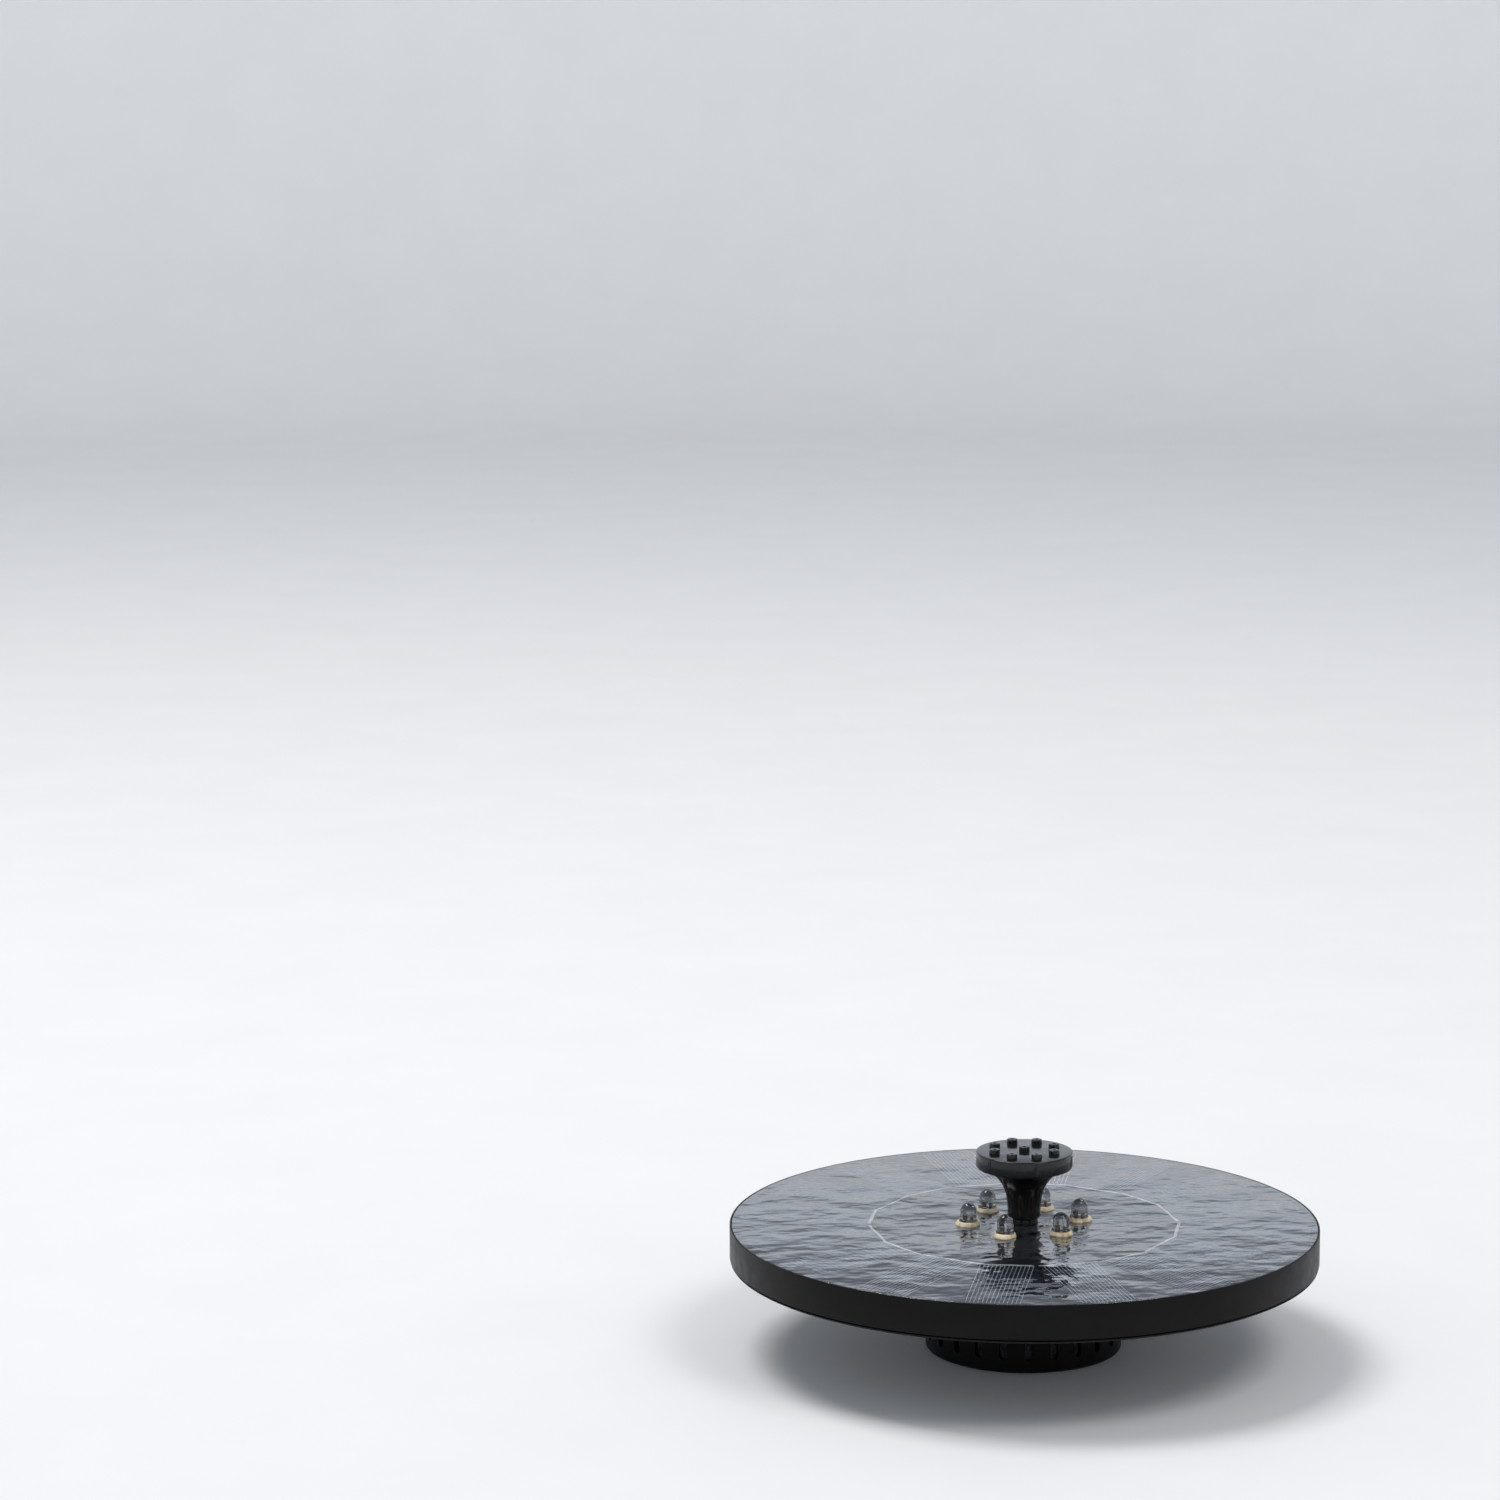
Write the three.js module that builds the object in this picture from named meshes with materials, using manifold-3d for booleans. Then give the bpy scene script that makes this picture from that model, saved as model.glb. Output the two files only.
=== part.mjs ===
// Floating solar fountain with a submersible pump, as an assembly of separate pieces.
// Millimetres, +Z up. The origin is the centre of the base: the underside of the strainer basket.
// The disc is a sealed float that carries the solar cells and the lamps. The pump hangs under its centre,
// inside the basket, and pushes water up a riser into the spray head.
import * as THREE from "three";
import { mergeVertices } from "three/addons/utils/BufferGeometryUtils.js";
import Module from "manifold-3d";

const wasm = await Module();
wasm.setup();

const rad = THREE.MathUtils.degToRad;
const deg = THREE.MathUtils.radToDeg;

// ---------------------------------------------------------------- driving dimensions
const CLEARANCE = 0.3; // between pieces that touch
const WELD = 0.1; // overlap of two shapes that are joined into one piece
const SMOOTH = { disc: 48, wide: 36, mid: 28, cone: 24, narrow: 20, small: 16, lamp: 12, tiny: 8 }; // sides

const DISC_R = 90; // float disc
const PANEL_TOP = 39; // height of the solar face over the base
const RIM_WALL = 2;
const LIP = 0.5; // thin edge of the tray round the panel
const EDGE_BREAK = 0.3; // small chamfers
const SKIRT_END = 28.5; // lower edge of the tray's skirt
const DECK_PLATE = 1.2;
const SLEEVE_IN = 5.7; // of the tray, round the pump's outlet
const SLEEVE_OUT = 6.9;

const HULL_Z = 24; // flat underside of the float
const HULL_PLATE = 1.6;
const HULL_R = 89.8;
const FLAT_R = 52; // the hull is flat out to here, then it rises to the rim
const UPSTAND = { rIn: 86, rOut: 87.6, top: 33.2 }; // wall inside the skirt that presses on the seal
const BOSS = { r: 3.6, top: 30.7, hole: 1.7, holeTop: 29.4 };
const NECK_R = 27.6; // ring on the hull that the basket turns on
const NECK_WALL = 1.6;
const NECK_H = 4.5;
const LUG_COUNT = 3; // bayonet lugs on the neck
const LUG = { half: rad(4), out: 29.3, z0: 21, z1: 22.4 };
const LUG_PHASE = rad(30);
const LOCK_TURN = rad(20); // basket's turn from locked to free
const FOAM_RING = { rIn: 60, rOut: 85.4, top: 34.4 };

const COVER_T = 0.7; // clear laminate over the cells
const CELL_T = 0.3;
const BOARD_T = 1.1;
const CELL_COUNT = 16;
const CELL_PHASE = rad(-5.5); // a seam between two cells, from the first lamp
const CELL_IN = 47.5; // distance of a cell's straight inner edge from the axis
const CELL_OUT = 87.6;
const CELL_SEAM = 0.8; // between two cells
const RIBBON_W = 1;
const RIBBON_COUNT = 4;
const RIBBON_TRIM = 0.03; // radians left free at each end of a ribbon

const LED_COUNT = 6;
const LED_CIRCLE = 17.2;
const LED_R = 2.5;
const LED_FLANGE_R = 2.9;
const LED_FLANGE_T = 0.8;
const LED_SEAT = 1; // underside of the flange above the panel
const LED_TOP = 6.9; // above the panel
const LEAD_STUB_R = 1.5;
const SEAL_R = 3.8;
const SEAL_H = 1.2; // above the panel
const SEAL_SLOPE = 0.5; // how far its outer face leans in
const SEAL_PLUG_R = 3; // part of the seal that fills the hole in the laminate

const NOZZLE_BASE = 2; // heights of the spray head above the panel
const HEAD_BOTTOM = 17.5;
const HEAD_TOP = 22.5;
const HEAD_R = 14.8;
const HEAD_WALL = 1.1;
const HEAD_PLATE = 1.4;
const SPOUT_COUNT = 8;
const SPOUT_CIRCLE = 9.8;
const SPOUT_R = 1.6;
const SPOUT_H = 1.4;
const SPOUT_PHASE = rad(11.6);
const JET_R = 0.6;
const RIB = { count: 6, half: 0.3, proud: 0.2 }; // grips on the head's side

const RISER_R = 4.2; // neck that stands on the pump's outlet and shows under the spray head
const RISER_BORE = 2.4;
const RISER_FOOT = 26;
const RISER_TIP_R = 3.4; // stretch inside the spray head
const RISER_REACH = 9; // how far it goes into the spray head
const OUTLET_BORE = 4; // upper socket of the pump's outlet, which holds the riser
const OUTLET_R = 5.2;
const OUTLET_TOP = 37;
const THROAT_BORE = 3; // lower part of the outlet, beside the impeller
const THROAT_R = 4.2;

const PUMP_Y = -5.5; // the rotor's axis runs along X at this y and z
const PUMP_Z = 12.9;
const PUMP_R = 10.6;
const PUMP_REAR = -18;
const FLANGE_T = 2; // plate that screws to the hull
const CHAMBER_R = 9.2;
const CHAMBER_HALF = 4.2;
const CAN_R = 9.3; // motor space around the rotor well
const CAN_FRONT = -5.5;
const WELL_R = 5.3;
const WELL_WALL = 1;
const WELL_END = -17;
const SHAFT_R = 1;
const SHAFT_FRONT = 5.6;
const BUSH_R = { front: 1.9, rear: 2.5 };
const MAGNET = { r: 4.9, rear: -14.9 };
const WHEEL = { r: 8.2, plate: 1, hub: 2.8, top: 2.2, blades: 6 };
const STATOR = { rear: -14, front: -6.2, wall: 0.6 };
const POT_FRONT = -14.3;
const INTAKE = { rIn: 5.5, hub: 3, arms: 3 };

const BASKET_R = 30;
const BASKET_WALL = 1.8;
const BASKET_H = 23.5;
const BASKET_CHAMFER = 1.2;
const SLOT_HALF = 1.2;
const WALL_SLOTS = { count: 24, z0: 4, z1: 17.5 };
const FLOOR_SLOTS = { count: 12, from: 10, to: 24 };
const SPONGE = { rIn: 25.2, z0: 2.2, z1: 19 };

const BUTTON_Y = -40;
const BUTTON_R = 4.1;
const BUTTON_FLANGE = { r: 5.6, t: 1 };
const LEAD_R = 1.1;
const LEAD_AT = new THREE.Vector2(-20.5, 2.3); // where the pump's lead passes the hull
const PUMP_SCREWS = [new THREE.Vector2(-11.5, 9.3), new THREE.Vector2(6.8, 9.3)];
const SCREW = { r: 1.4, head: 2.8, headT: 1.7, tip: 29 };

// ---------------------------------------------------------------- derived levels
const PANEL_R = DISC_R - LIP - CLEARANCE;
const COVER_Z = PANEL_TOP - COVER_T;
const CELL_Z = COVER_Z - CLEARANCE - CELL_T;
const BOARD_Z = CELL_Z - CLEARANCE - BOARD_T;
const BOARD_TOP = BOARD_Z + BOARD_T;
const DECK_Z = BOARD_Z - CLEARANCE; // top of the deck
const DECK_UNDER = DECK_Z - DECK_PLATE;
const HULL_TOP = HULL_Z + HULL_PLATE;
const HULL_EDGE = SKIRT_END - CLEARANCE;
const INNER_FLOOR = HULL_TOP + 0.8; // parts inside the float stand here
const SEAL_TOP = PANEL_TOP + SEAL_H;
const NOZZLE_Z = PANEL_TOP + NOZZLE_BASE;
const HEAD_Z = PANEL_TOP + HEAD_BOTTOM;
const HEAD_TOP_Z = PANEL_TOP + HEAD_TOP;
const FLANGE_TOP = HULL_Z - CLEARANCE;
const FLANGE_Z = FLANGE_TOP - FLANGE_T;

// ---------------------------------------------------------------- materials
function finish(colour, roughness, metalness = 0) {
  return new THREE.MeshStandardMaterial({ color: colour, roughness, metalness });
}

const BLACK_ABS = finish(0x101112, 0.5);
const HEAD_ABS = finish(0x121213, 0.4);
const CLEAR_LAMINATE = new THREE.MeshStandardMaterial({
  color: 0x3c444c, roughness: 0.12, transparent: true, opacity: 0.35,
});
const SILICON = finish(0x141a26, 0.3);
const TINNED_COPPER = finish(0xd6d7d4, 0.35, 0.9);
const BLACK_BOARD = finish(0x14171b, 0.5);
const CLEAR_EPOXY = new THREE.MeshStandardMaterial({
  color: 0xdde3e8, roughness: 0.05, transparent: true, opacity: 0.4,
});
const CREAM_SEAL = finish(0xe6d3b0, 0.6);
const RUBBER = finish(0x202022, 0.8);
const FOAM = finish(0x2c2c2e, 0.95);
const POUCH = finish(0xb9bcc0, 0.35, 0.6);
const GREEN_BOARD = finish(0x1d5a35, 0.5);
const STEEL = finish(0xa9acb0, 0.35, 1);
const COPPER = finish(0xb4693a, 0.4, 0.9);
const FERRITE = finish(0x2b2b2e, 0.45, 0.3);
const CERAMIC = finish(0xeeeae0, 0.25);
const WHITE_NYLON = finish(0xe7e6e0, 0.5);
const RESIN = finish(0x1a1816, 0.3);

// ---------------------------------------------------------------- solids
function solidOf(geometry) {
  const bare = geometry.index ? geometry.toNonIndexed() : geometry.clone();
  bare.deleteAttribute("normal");
  bare.deleteAttribute("uv");
  const merged = mergeVertices(bare, 1e-4);
  return new wasm.Manifold(
    new wasm.Mesh({
      numProp: 3,
      vertProperties: merged.attributes.position.array,
      triVerts: new Uint32Array(merged.index.array),
    }),
  );
}

function geometryOf(solid) {
  const mesh = solid.getMesh();
  const positions = new Float32Array(mesh.numVert * 3);
  for (let i = 0; i < mesh.numVert; i++) {
    positions.set(mesh.vertProperties.subarray(i * mesh.numProp, i * mesh.numProp + 3), i * 3);
  }
  const geometry = new THREE.BufferGeometry();
  geometry.setAttribute("position", new THREE.BufferAttribute(positions, 3));
  geometry.setIndex(new THREE.BufferAttribute(mesh.triVerts, 1));
  geometry.computeVertexNormals();
  return geometry;
}

function join(first, ...others) {
  return others.reduce((whole, piece) => whole.add(piece), first);
}

function cut(body, ...tools) {
  return tools.reduce((rest, tool) => rest.subtract(tool), body);
}

// A profile of [radius, height] points turned about Z. It closes on itself unless it starts on the axis.
function turned(profile, sides) {
  const points = profile.map(([r, z]) => new THREE.Vector2(r, z));
  if (profile[0][0] > 0) points.push(points[0].clone());
  const geometry = new THREE.LatheGeometry(points, sides);
  geometry.rotateX(Math.PI / 2);
  return solidOf(geometry);
}

function tube(rIn, rOut, z0, z1, sides) {
  return turned([[rIn, z0], [rOut, z0], [rOut, z1], [rIn, z1]], sides);
}

function rod(r, z0, z1, sides) {
  return turned([[0, z0], [r, z0], [r, z1], [0, z1]], sides);
}

function box(x0, x1, y0, y1, z0, z1) {
  const geometry = new THREE.BoxGeometry(x1 - x0, y1 - y0, z1 - z0);
  geometry.translate((x0 + x1) / 2, (y0 + y1) / 2, (z0 + z1) / 2);
  return solidOf(geometry);
}

function plate(shape, z0, z1, curveSegments = 8) {
  const geometry = new THREE.ExtrudeGeometry(shape, {
    depth: z1 - z0, bevelEnabled: false, curveSegments,
  });
  geometry.translate(0, 0, z0);
  return solidOf(geometry);
}

function roundedBox(x0, x1, y0, y1, z0, z1, r) {
  const shape = new THREE.Shape();
  shape.moveTo(x0 + r, y0);
  shape.lineTo(x1 - r, y0);
  shape.absarc(x1 - r, y0 + r, r, -Math.PI / 2, 0);
  shape.absarc(x1 - r, y1 - r, r, 0, Math.PI / 2);
  shape.absarc(x0 + r, y1 - r, r, Math.PI / 2, Math.PI);
  shape.absarc(x0 + r, y0 + r, r, Math.PI, Math.PI * 1.5);
  return plate(shape, z0, z1, 4);
}

// A block that follows an arc about Z.
function arcBlock(rIn, rOut, from, to, z0, z1) {
  const shape = new THREE.Shape();
  shape.absarc(0, 0, rOut, from, to);
  shape.absarc(0, 0, rIn, to, from, true);
  return plate(shape, z0, z1, 2);
}

// Lays a solid made about Z onto the rotor's axis, which runs along +X.
function onRotorAxis(solid) {
  return solid.rotate([0, 90, 0]).translate([0, PUMP_Y, PUMP_Z]);
}

function turnedTo(solid, angle) {
  return solid.rotate([0, 0, deg(angle)]);
}

function polar(r, angle) {
  return [r * Math.cos(angle), r * Math.sin(angle)];
}

function ring(count, phase = 0) {
  return Array.from({ length: count }, (_, i) => phase + (i * 2 * Math.PI) / count);
}

const fountain = new THREE.Group();

function add(name, solid, material) {
  const mesh = new THREE.Mesh(geometryOf(solid), material);
  mesh.name = name;
  fountain.add(mesh);
}

// ---------------------------------------------------------------- float shells
function deckTray() {
  const inside = DISC_R - RIM_WALL;
  const edge = DISC_R - LIP;
  return turned([
    [SLEEVE_IN, HULL_TOP + CLEARANCE], [SLEEVE_OUT, HULL_TOP + CLEARANCE],
    [SLEEVE_OUT, DECK_UNDER], [inside, DECK_UNDER], [inside, SKIRT_END],
    [DISC_R, SKIRT_END], [DISC_R, PANEL_TOP - EDGE_BREAK], [DISC_R - EDGE_BREAK, PANEL_TOP],
    [edge, PANEL_TOP], [edge, DECK_Z], [SLEEVE_IN, DECK_Z],
  ], SMOOTH.disc);
}

function hullShell() {
  const outletHole = OUTLET_R + 0.4;
  const neckIn = NECK_R - NECK_WALL;
  const neckEnd = HULL_Z - NECK_H;
  return turned([
    [outletHole, HULL_Z], [neckIn, HULL_Z], [neckIn, neckEnd], [NECK_R, neckEnd], [NECK_R, HULL_Z],
    [FLAT_R, HULL_Z], [80, 26.3], [86, 26.8], [88.8, 27.3], [HULL_R, HULL_EDGE - EDGE_BREAK],
    [HULL_R, HULL_EDGE], [UPSTAND.rOut, HULL_EDGE], [UPSTAND.rOut, UPSTAND.top],
    [UPSTAND.rIn, UPSTAND.top], [UPSTAND.rIn, 28.5], [80, 27.9], [FLAT_R, HULL_TOP],
    [outletHole, HULL_TOP],
  ], SMOOTH.disc);
}

function lowerHull() {
  const below = HULL_Z - 1;
  const above = HULL_TOP + 1;
  const bosses = PUMP_SCREWS.map((at) =>
    rod(BOSS.r, HULL_TOP - WELD, BOSS.top, SMOOTH.small).translate([at.x, at.y, 0]));
  const screwHoles = PUMP_SCREWS.map((at) =>
    rod(BOSS.hole, below, BOSS.holeTop, SMOOTH.tiny).translate([at.x, at.y, 0]));
  const buttonHole = rod(BUTTON_R + CLEARANCE, below, above, SMOOTH.small).translate([0, BUTTON_Y, 0]);
  const leadHole = rod(LEAD_R + 0.4, below, above, SMOOTH.tiny).translate([LEAD_AT.x, LEAD_AT.y, 0]);
  const lugs = ring(LUG_COUNT, LUG_PHASE).map((angle) =>
    arcBlock(NECK_R - 0.5, LUG.out, angle - LUG.half, angle + LUG.half, LUG.z0, LUG.z1));
  return cut(join(hullShell(), ...bosses, ...lugs), ...screwHoles, buttonHole, leadHole);
}

function foamRing() {
  return turned([
    [FOAM_RING.rIn, 26.8], [80, 28.3], [FOAM_RING.rOut, 29], [FOAM_RING.rOut, FOAM_RING.top],
    [FOAM_RING.rIn, FOAM_RING.top],
  ], SMOOTH.mid);
}

add("deck_tray", deckTray(), BLACK_ABS);
add("lower_hull", lowerHull(), BLACK_ABS);
add("hull_seal", tube(UPSTAND.rIn, UPSTAND.rOut, UPSTAND.top + CLEARANCE, DECK_UNDER - CLEARANCE,
  SMOOTH.disc), RUBBER);
add("foam_ring", foamRing(), FOAM);

// ---------------------------------------------------------------- solar panel
function panelCover() {
  const disc = tube(RISER_R + CLEARANCE, PANEL_R, COVER_Z, PANEL_TOP, SMOOTH.disc);
  const holes = ring(LED_COUNT).map((angle) =>
    rod(SEAL_PLUG_R + CLEARANCE, COVER_Z - 1, PANEL_TOP + 1, SMOOTH.small)
      .translate([...polar(LED_CIRCLE, angle), 0]));
  return cut(disc, ...holes);
}

// One cell lies along +X: a straight inner edge, two straight sides and an arc outside.
function solarCell() {
  const half = Math.PI / CELL_COUNT;
  const outer = half - Math.asin(CELL_SEAM / 2 / CELL_OUT);
  const innerY = CELL_IN * Math.tan(half) - CELL_SEAM / 2 / Math.cos(half);
  const shape = new THREE.Shape();
  shape.moveTo(CELL_IN, innerY);
  shape.lineTo(CELL_IN, -innerY);
  shape.absarc(0, 0, CELL_OUT, -outer, outer);
  return plate(shape, CELL_Z, CELL_Z + CELL_T, 4);
}

// A ribbon follows the inner edges of a quarter of the cells, with a corner at each seam.
function busRibbon() {
  const cells = CELL_COUNT / RIBBON_COUNT;
  const half = Math.PI / CELL_COUNT;
  const outer = CELL_IN - CLEARANCE;
  const inner = outer - RIBBON_W;
  const corners = Array.from({ length: cells + 1 }, (_, i) => i * 2 * half);
  corners[0] += RIBBON_TRIM;
  corners[cells] -= RIBBON_TRIM;
  const at = (apothem, angle) => {
    const toMiddle = (angle % (2 * half)) - half;
    return polar(apothem / Math.cos(toMiddle), angle);
  };
  const outline = [
    ...corners.map((angle) => at(outer, angle)),
    ...corners.toReversed().map((angle) => at(inner, angle)),
  ];
  const shape = new THREE.Shape(outline.map(([x, y]) => new THREE.Vector2(x, y)));
  return plate(shape, CELL_Z, CELL_Z + CELL_T);
}

add("panel_cover", panelCover(), CLEAR_LAMINATE);
ring(CELL_COUNT, CELL_PHASE + Math.PI / CELL_COUNT).forEach((angle, i) => {
  add(`solar_cell_${String(i + 1).padStart(2, "0")}`, turnedTo(solarCell(), angle), SILICON);
});
ring(RIBBON_COUNT, CELL_PHASE).forEach((angle, i) => {
  add(`bus_ribbon_${i + 1}`, turnedTo(busRibbon(), angle), TINNED_COPPER);
});
add("cell_board", tube(SLEEVE_IN + CLEARANCE, PANEL_R, BOARD_Z, BOARD_TOP, SMOOTH.disc), BLACK_BOARD);

// ---------------------------------------------------------------- lamps
const LAMP_FOOT = BOARD_TOP + CLEARANCE;

function lamp() {
  const flange = PANEL_TOP + LED_SEAT;
  const centre = PANEL_TOP + LED_TOP - LED_R;
  const steps = 4;
  const dome = Array.from({ length: steps }, (_, i) => {
    const [r, z] = polar(LED_R, (i * Math.PI) / 2 / steps);
    return [r, centre + z];
  });
  return turned([
    [0, LAMP_FOOT], [LEAD_STUB_R, LAMP_FOOT], [LEAD_STUB_R, flange], [LED_FLANGE_R, flange],
    [LED_FLANGE_R, flange + LED_FLANGE_T], [LED_R, flange + LED_FLANGE_T], ...dome, [0, centre + LED_R],
  ], SMOOTH.lamp);
}

// A plug in the laminate with a low cup on it, which the lamp's flange sits in.
function lampSeal() {
  const bore = LEAD_STUB_R + CLEARANCE;
  const cup = LED_FLANGE_R + CLEARANCE;
  const cupFloor = PANEL_TOP + LED_SEAT - CLEARANCE;
  const brim = PANEL_TOP + CLEARANCE;
  return turned([
    [bore, LAMP_FOOT], [SEAL_PLUG_R, LAMP_FOOT], [SEAL_PLUG_R, brim], [SEAL_R, brim],
    [SEAL_R, brim + 0.2], [SEAL_R - SEAL_SLOPE, SEAL_TOP], [cup, SEAL_TOP], [cup, cupFloor],
    [bore, cupFloor],
  ], SMOOTH.lamp);
}

ring(LED_COUNT).forEach((angle, i) => {
  const place = [...polar(LED_CIRCLE, angle), 0];
  add(`led_${i + 1}`, lamp().translate(place), CLEAR_EPOXY);
  add(`led_seal_${i + 1}`, lampSeal().translate(place), CREAM_SEAL);
});

// ---------------------------------------------------------------- electrics inside the float
function controlBoard() {
  const top = INNER_FLOOR + 1.2;
  const foot = top - WELD;
  const connector = box(-37, -32.3, -2, 6, foot, 31.5);
  const chargerChip = box(-50, -42, -8, 0, foot, 29.2);
  const inductor = box(-53, -46, 4, 11, foot, 31.6);
  const capacitor = rod(2.5, foot, 32.6, SMOOTH.tiny).translate([-38, -9, 0]);
  return join(roundedBox(-56, -32, -14, 14, INNER_FLOOR, top, 2), connector, chargerChip, inductor,
    capacitor);
}

// Up beside the pump, through the hull and over to the control board.
function pumpLead() {
  const path = new THREE.CatmullRomCurve3([
    [PUMP_REAR, 12.9], [-19.3, 13.1], [-20.3, 14.1], [LEAD_AT.x, 16], [LEAD_AT.x, 21],
    [LEAD_AT.x, 26.5], [-21, 28.4], [-22.6, 29.4], [-25, 29.6], [-32, 29.6],
  ].map(([x, z]) => new THREE.Vector3(x, LEAD_AT.y, z)));
  const section = new THREE.Shape();
  section.absarc(0, 0, LEAD_R, 0, 2 * Math.PI);
  return solidOf(new THREE.ExtrudeGeometry(section, {
    steps: 18, curveSegments: 4, extrudePath: path, bevelEnabled: false,
  }));
}

// A soft cap that is pressed up from below, with its flange inside the hull.
function powerButton() {
  const flange = HULL_TOP + CLEARANCE;
  const top = flange + BUTTON_FLANGE.t;
  return turned([
    [0, HULL_Z - 1.6], [2.6, HULL_Z - 1.5], [3.7, HULL_Z - 1], [BUTTON_R, HULL_Z - 0.1],
    [BUTTON_R, flange], [BUTTON_FLANGE.r, flange], [BUTTON_FLANGE.r, top], [0, top],
  ], SMOOTH.small).translate([0, BUTTON_Y, 0]);
}

function buttonSwitch() {
  const plunger = rod(1.7, 28.2, 29, SMOOTH.tiny);
  const body = box(-3, 3, -3, 3, 29 - WELD, 32.4);
  const board = box(-7, 7, -7, 7, 32.4 - WELD, 33.4);
  const post = box(-2, 2, 4, 6, 33.4 - WELD, DECK_UNDER - CLEARANCE);
  return join(plunger, body, board, post).translate([0, BUTTON_Y, 0]);
}

add("battery_pack", roundedBox(18, 52, -24, 24, INNER_FLOOR, 32, 2.5), POUCH);
add("control_board", controlBoard(), GREEN_BOARD);
add("pump_lead", pumpLead(), RUBBER);
add("power_button", powerButton(), RUBBER);
add("button_switch", buttonSwitch(), STEEL);

// ---------------------------------------------------------------- pump
function pumpBody() {
  const outside = join(
    onRotorAxis(rod(PUMP_R, PUMP_REAR, CHAMBER_HALF, SMOOTH.mid)),
    box(-16, CHAMBER_HALF, -14, 12.5, FLANGE_Z, FLANGE_TOP),
    box(CHAMBER_HALF - WELD, 10.5, 6, 12.5, FLANGE_Z, FLANGE_TOP),
    rod(THROAT_R, PUMP_Z, FLANGE_TOP, SMOOTH.narrow),
    rod(OUTLET_R, FLANGE_TOP - WELD, OUTLET_TOP, SMOOTH.narrow),
  );
  const motorSpace = onRotorAxis(tube(WELL_R + WELL_WALL, CAN_R, PUMP_REAR - 1, CAN_FRONT, SMOOTH.narrow));
  const chamber = onRotorAxis(rod(CHAMBER_R, -CHAMBER_HALF, CHAMBER_HALF + 1, SMOOTH.narrow));
  const well = onRotorAxis(rod(WELL_R, WELL_END, 0, SMOOTH.narrow));
  const throat = rod(THROAT_BORE, PUMP_Z, RISER_FOOT, SMOOTH.narrow);
  const outlet = rod(OUTLET_BORE, RISER_FOOT - CLEARANCE, OUTLET_TOP + 1, SMOOTH.narrow);
  const screwHoles = PUMP_SCREWS.map((at) =>
    rod(BOSS.hole, FLANGE_Z - 1, FLANGE_TOP + 1, SMOOTH.tiny).translate([at.x, at.y, 0]));
  return cut(outside, motorSpace, chamber, well, throat, outlet, ...screwHoles);
}

// Front of the pump, with the intake in its middle and a spider that holds the shaft.
function voluteCover() {
  const face = CHAMBER_HALF + CLEARANCE;
  const thick = 1.6;
  const spigot = CHAMBER_R - CLEARANCE;
  const disc = turned([
    [INTAKE.rIn, face - thick], [spigot, face - thick], [spigot, face], [PUMP_R, face],
    [PUMP_R, face + thick - 0.4], [PUMP_R - 0.4, face + thick], [INTAKE.rIn + 0.7, face + thick],
    [INTAKE.rIn, face + thick - 0.4],
  ], SMOOTH.narrow);
  const hub = tube(BUSH_R.front + CLEARANCE, INTAKE.hub, face - thick, face + thick, SMOOTH.small);
  const arm = box(INTAKE.hub - CLEARANCE, INTAKE.rIn + CLEARANCE, -0.7, 0.7, face - 0.9, face + 0.9);
  const arms = ring(INTAKE.arms, Math.PI / 2).map((angle) => turnedTo(arm, angle));
  return onRotorAxis(join(disc, hub, ...arms));
}

function impeller() {
  const bore = SHAFT_R + CLEARANCE;
  const back = -CHAMBER_HALF + CLEARANCE;
  const front = back + WHEEL.plate;
  const wheel = turned([
    [bore, back], [WHEEL.r, back], [WHEEL.r, front], [WHEEL.hub, front], [WHEEL.hub - 0.2, WHEEL.top],
    [bore, WHEEL.top],
  ], SMOOTH.narrow);
  const blades = ring(WHEEL.blades).map((angle) =>
    turnedTo(box(WHEEL.hub - 0.4, WHEEL.r - 0.2, -0.5, 0.5, front - WELD, WHEEL.top), angle));
  return onRotorAxis(join(wheel, ...blades));
}

function statorCore() {
  const out = CAN_R - CLEARANCE;
  const shell = out - STATOR.wall;
  const inner = WELL_R + WELL_WALL + CLEARANCE;
  const web = STATOR.rear + 1;
  return onRotorAxis(turned([
    [shell, STATOR.front], [shell, web], [inner, web], [inner, STATOR.rear], [out, STATOR.rear],
    [out, STATOR.front],
  ], SMOOTH.narrow));
}

function statorCoil() {
  const inner = WELL_R + WELL_WALL + CLEARANCE;
  const outer = CAN_R - STATOR.wall - 2 * CLEARANCE;
  return onRotorAxis(tube(inner, outer, STATOR.rear + 1 + CLEARANCE, STATOR.front, SMOOTH.narrow));
}

function pumpScrew() {
  const seat = FLANGE_Z - CLEARANCE;
  const head = seat - SCREW.headT;
  const screw = turned([
    [0, head], [1.9, head], [SCREW.head, head + 0.8], [SCREW.head, seat], [SCREW.r, seat],
    [SCREW.r, SCREW.tip - 0.8], [0, SCREW.tip],
  ], SMOOTH.tiny);
  return cut(screw, box(-2, 2, -0.35, 0.35, head - 1, head + 0.8));
}

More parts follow.
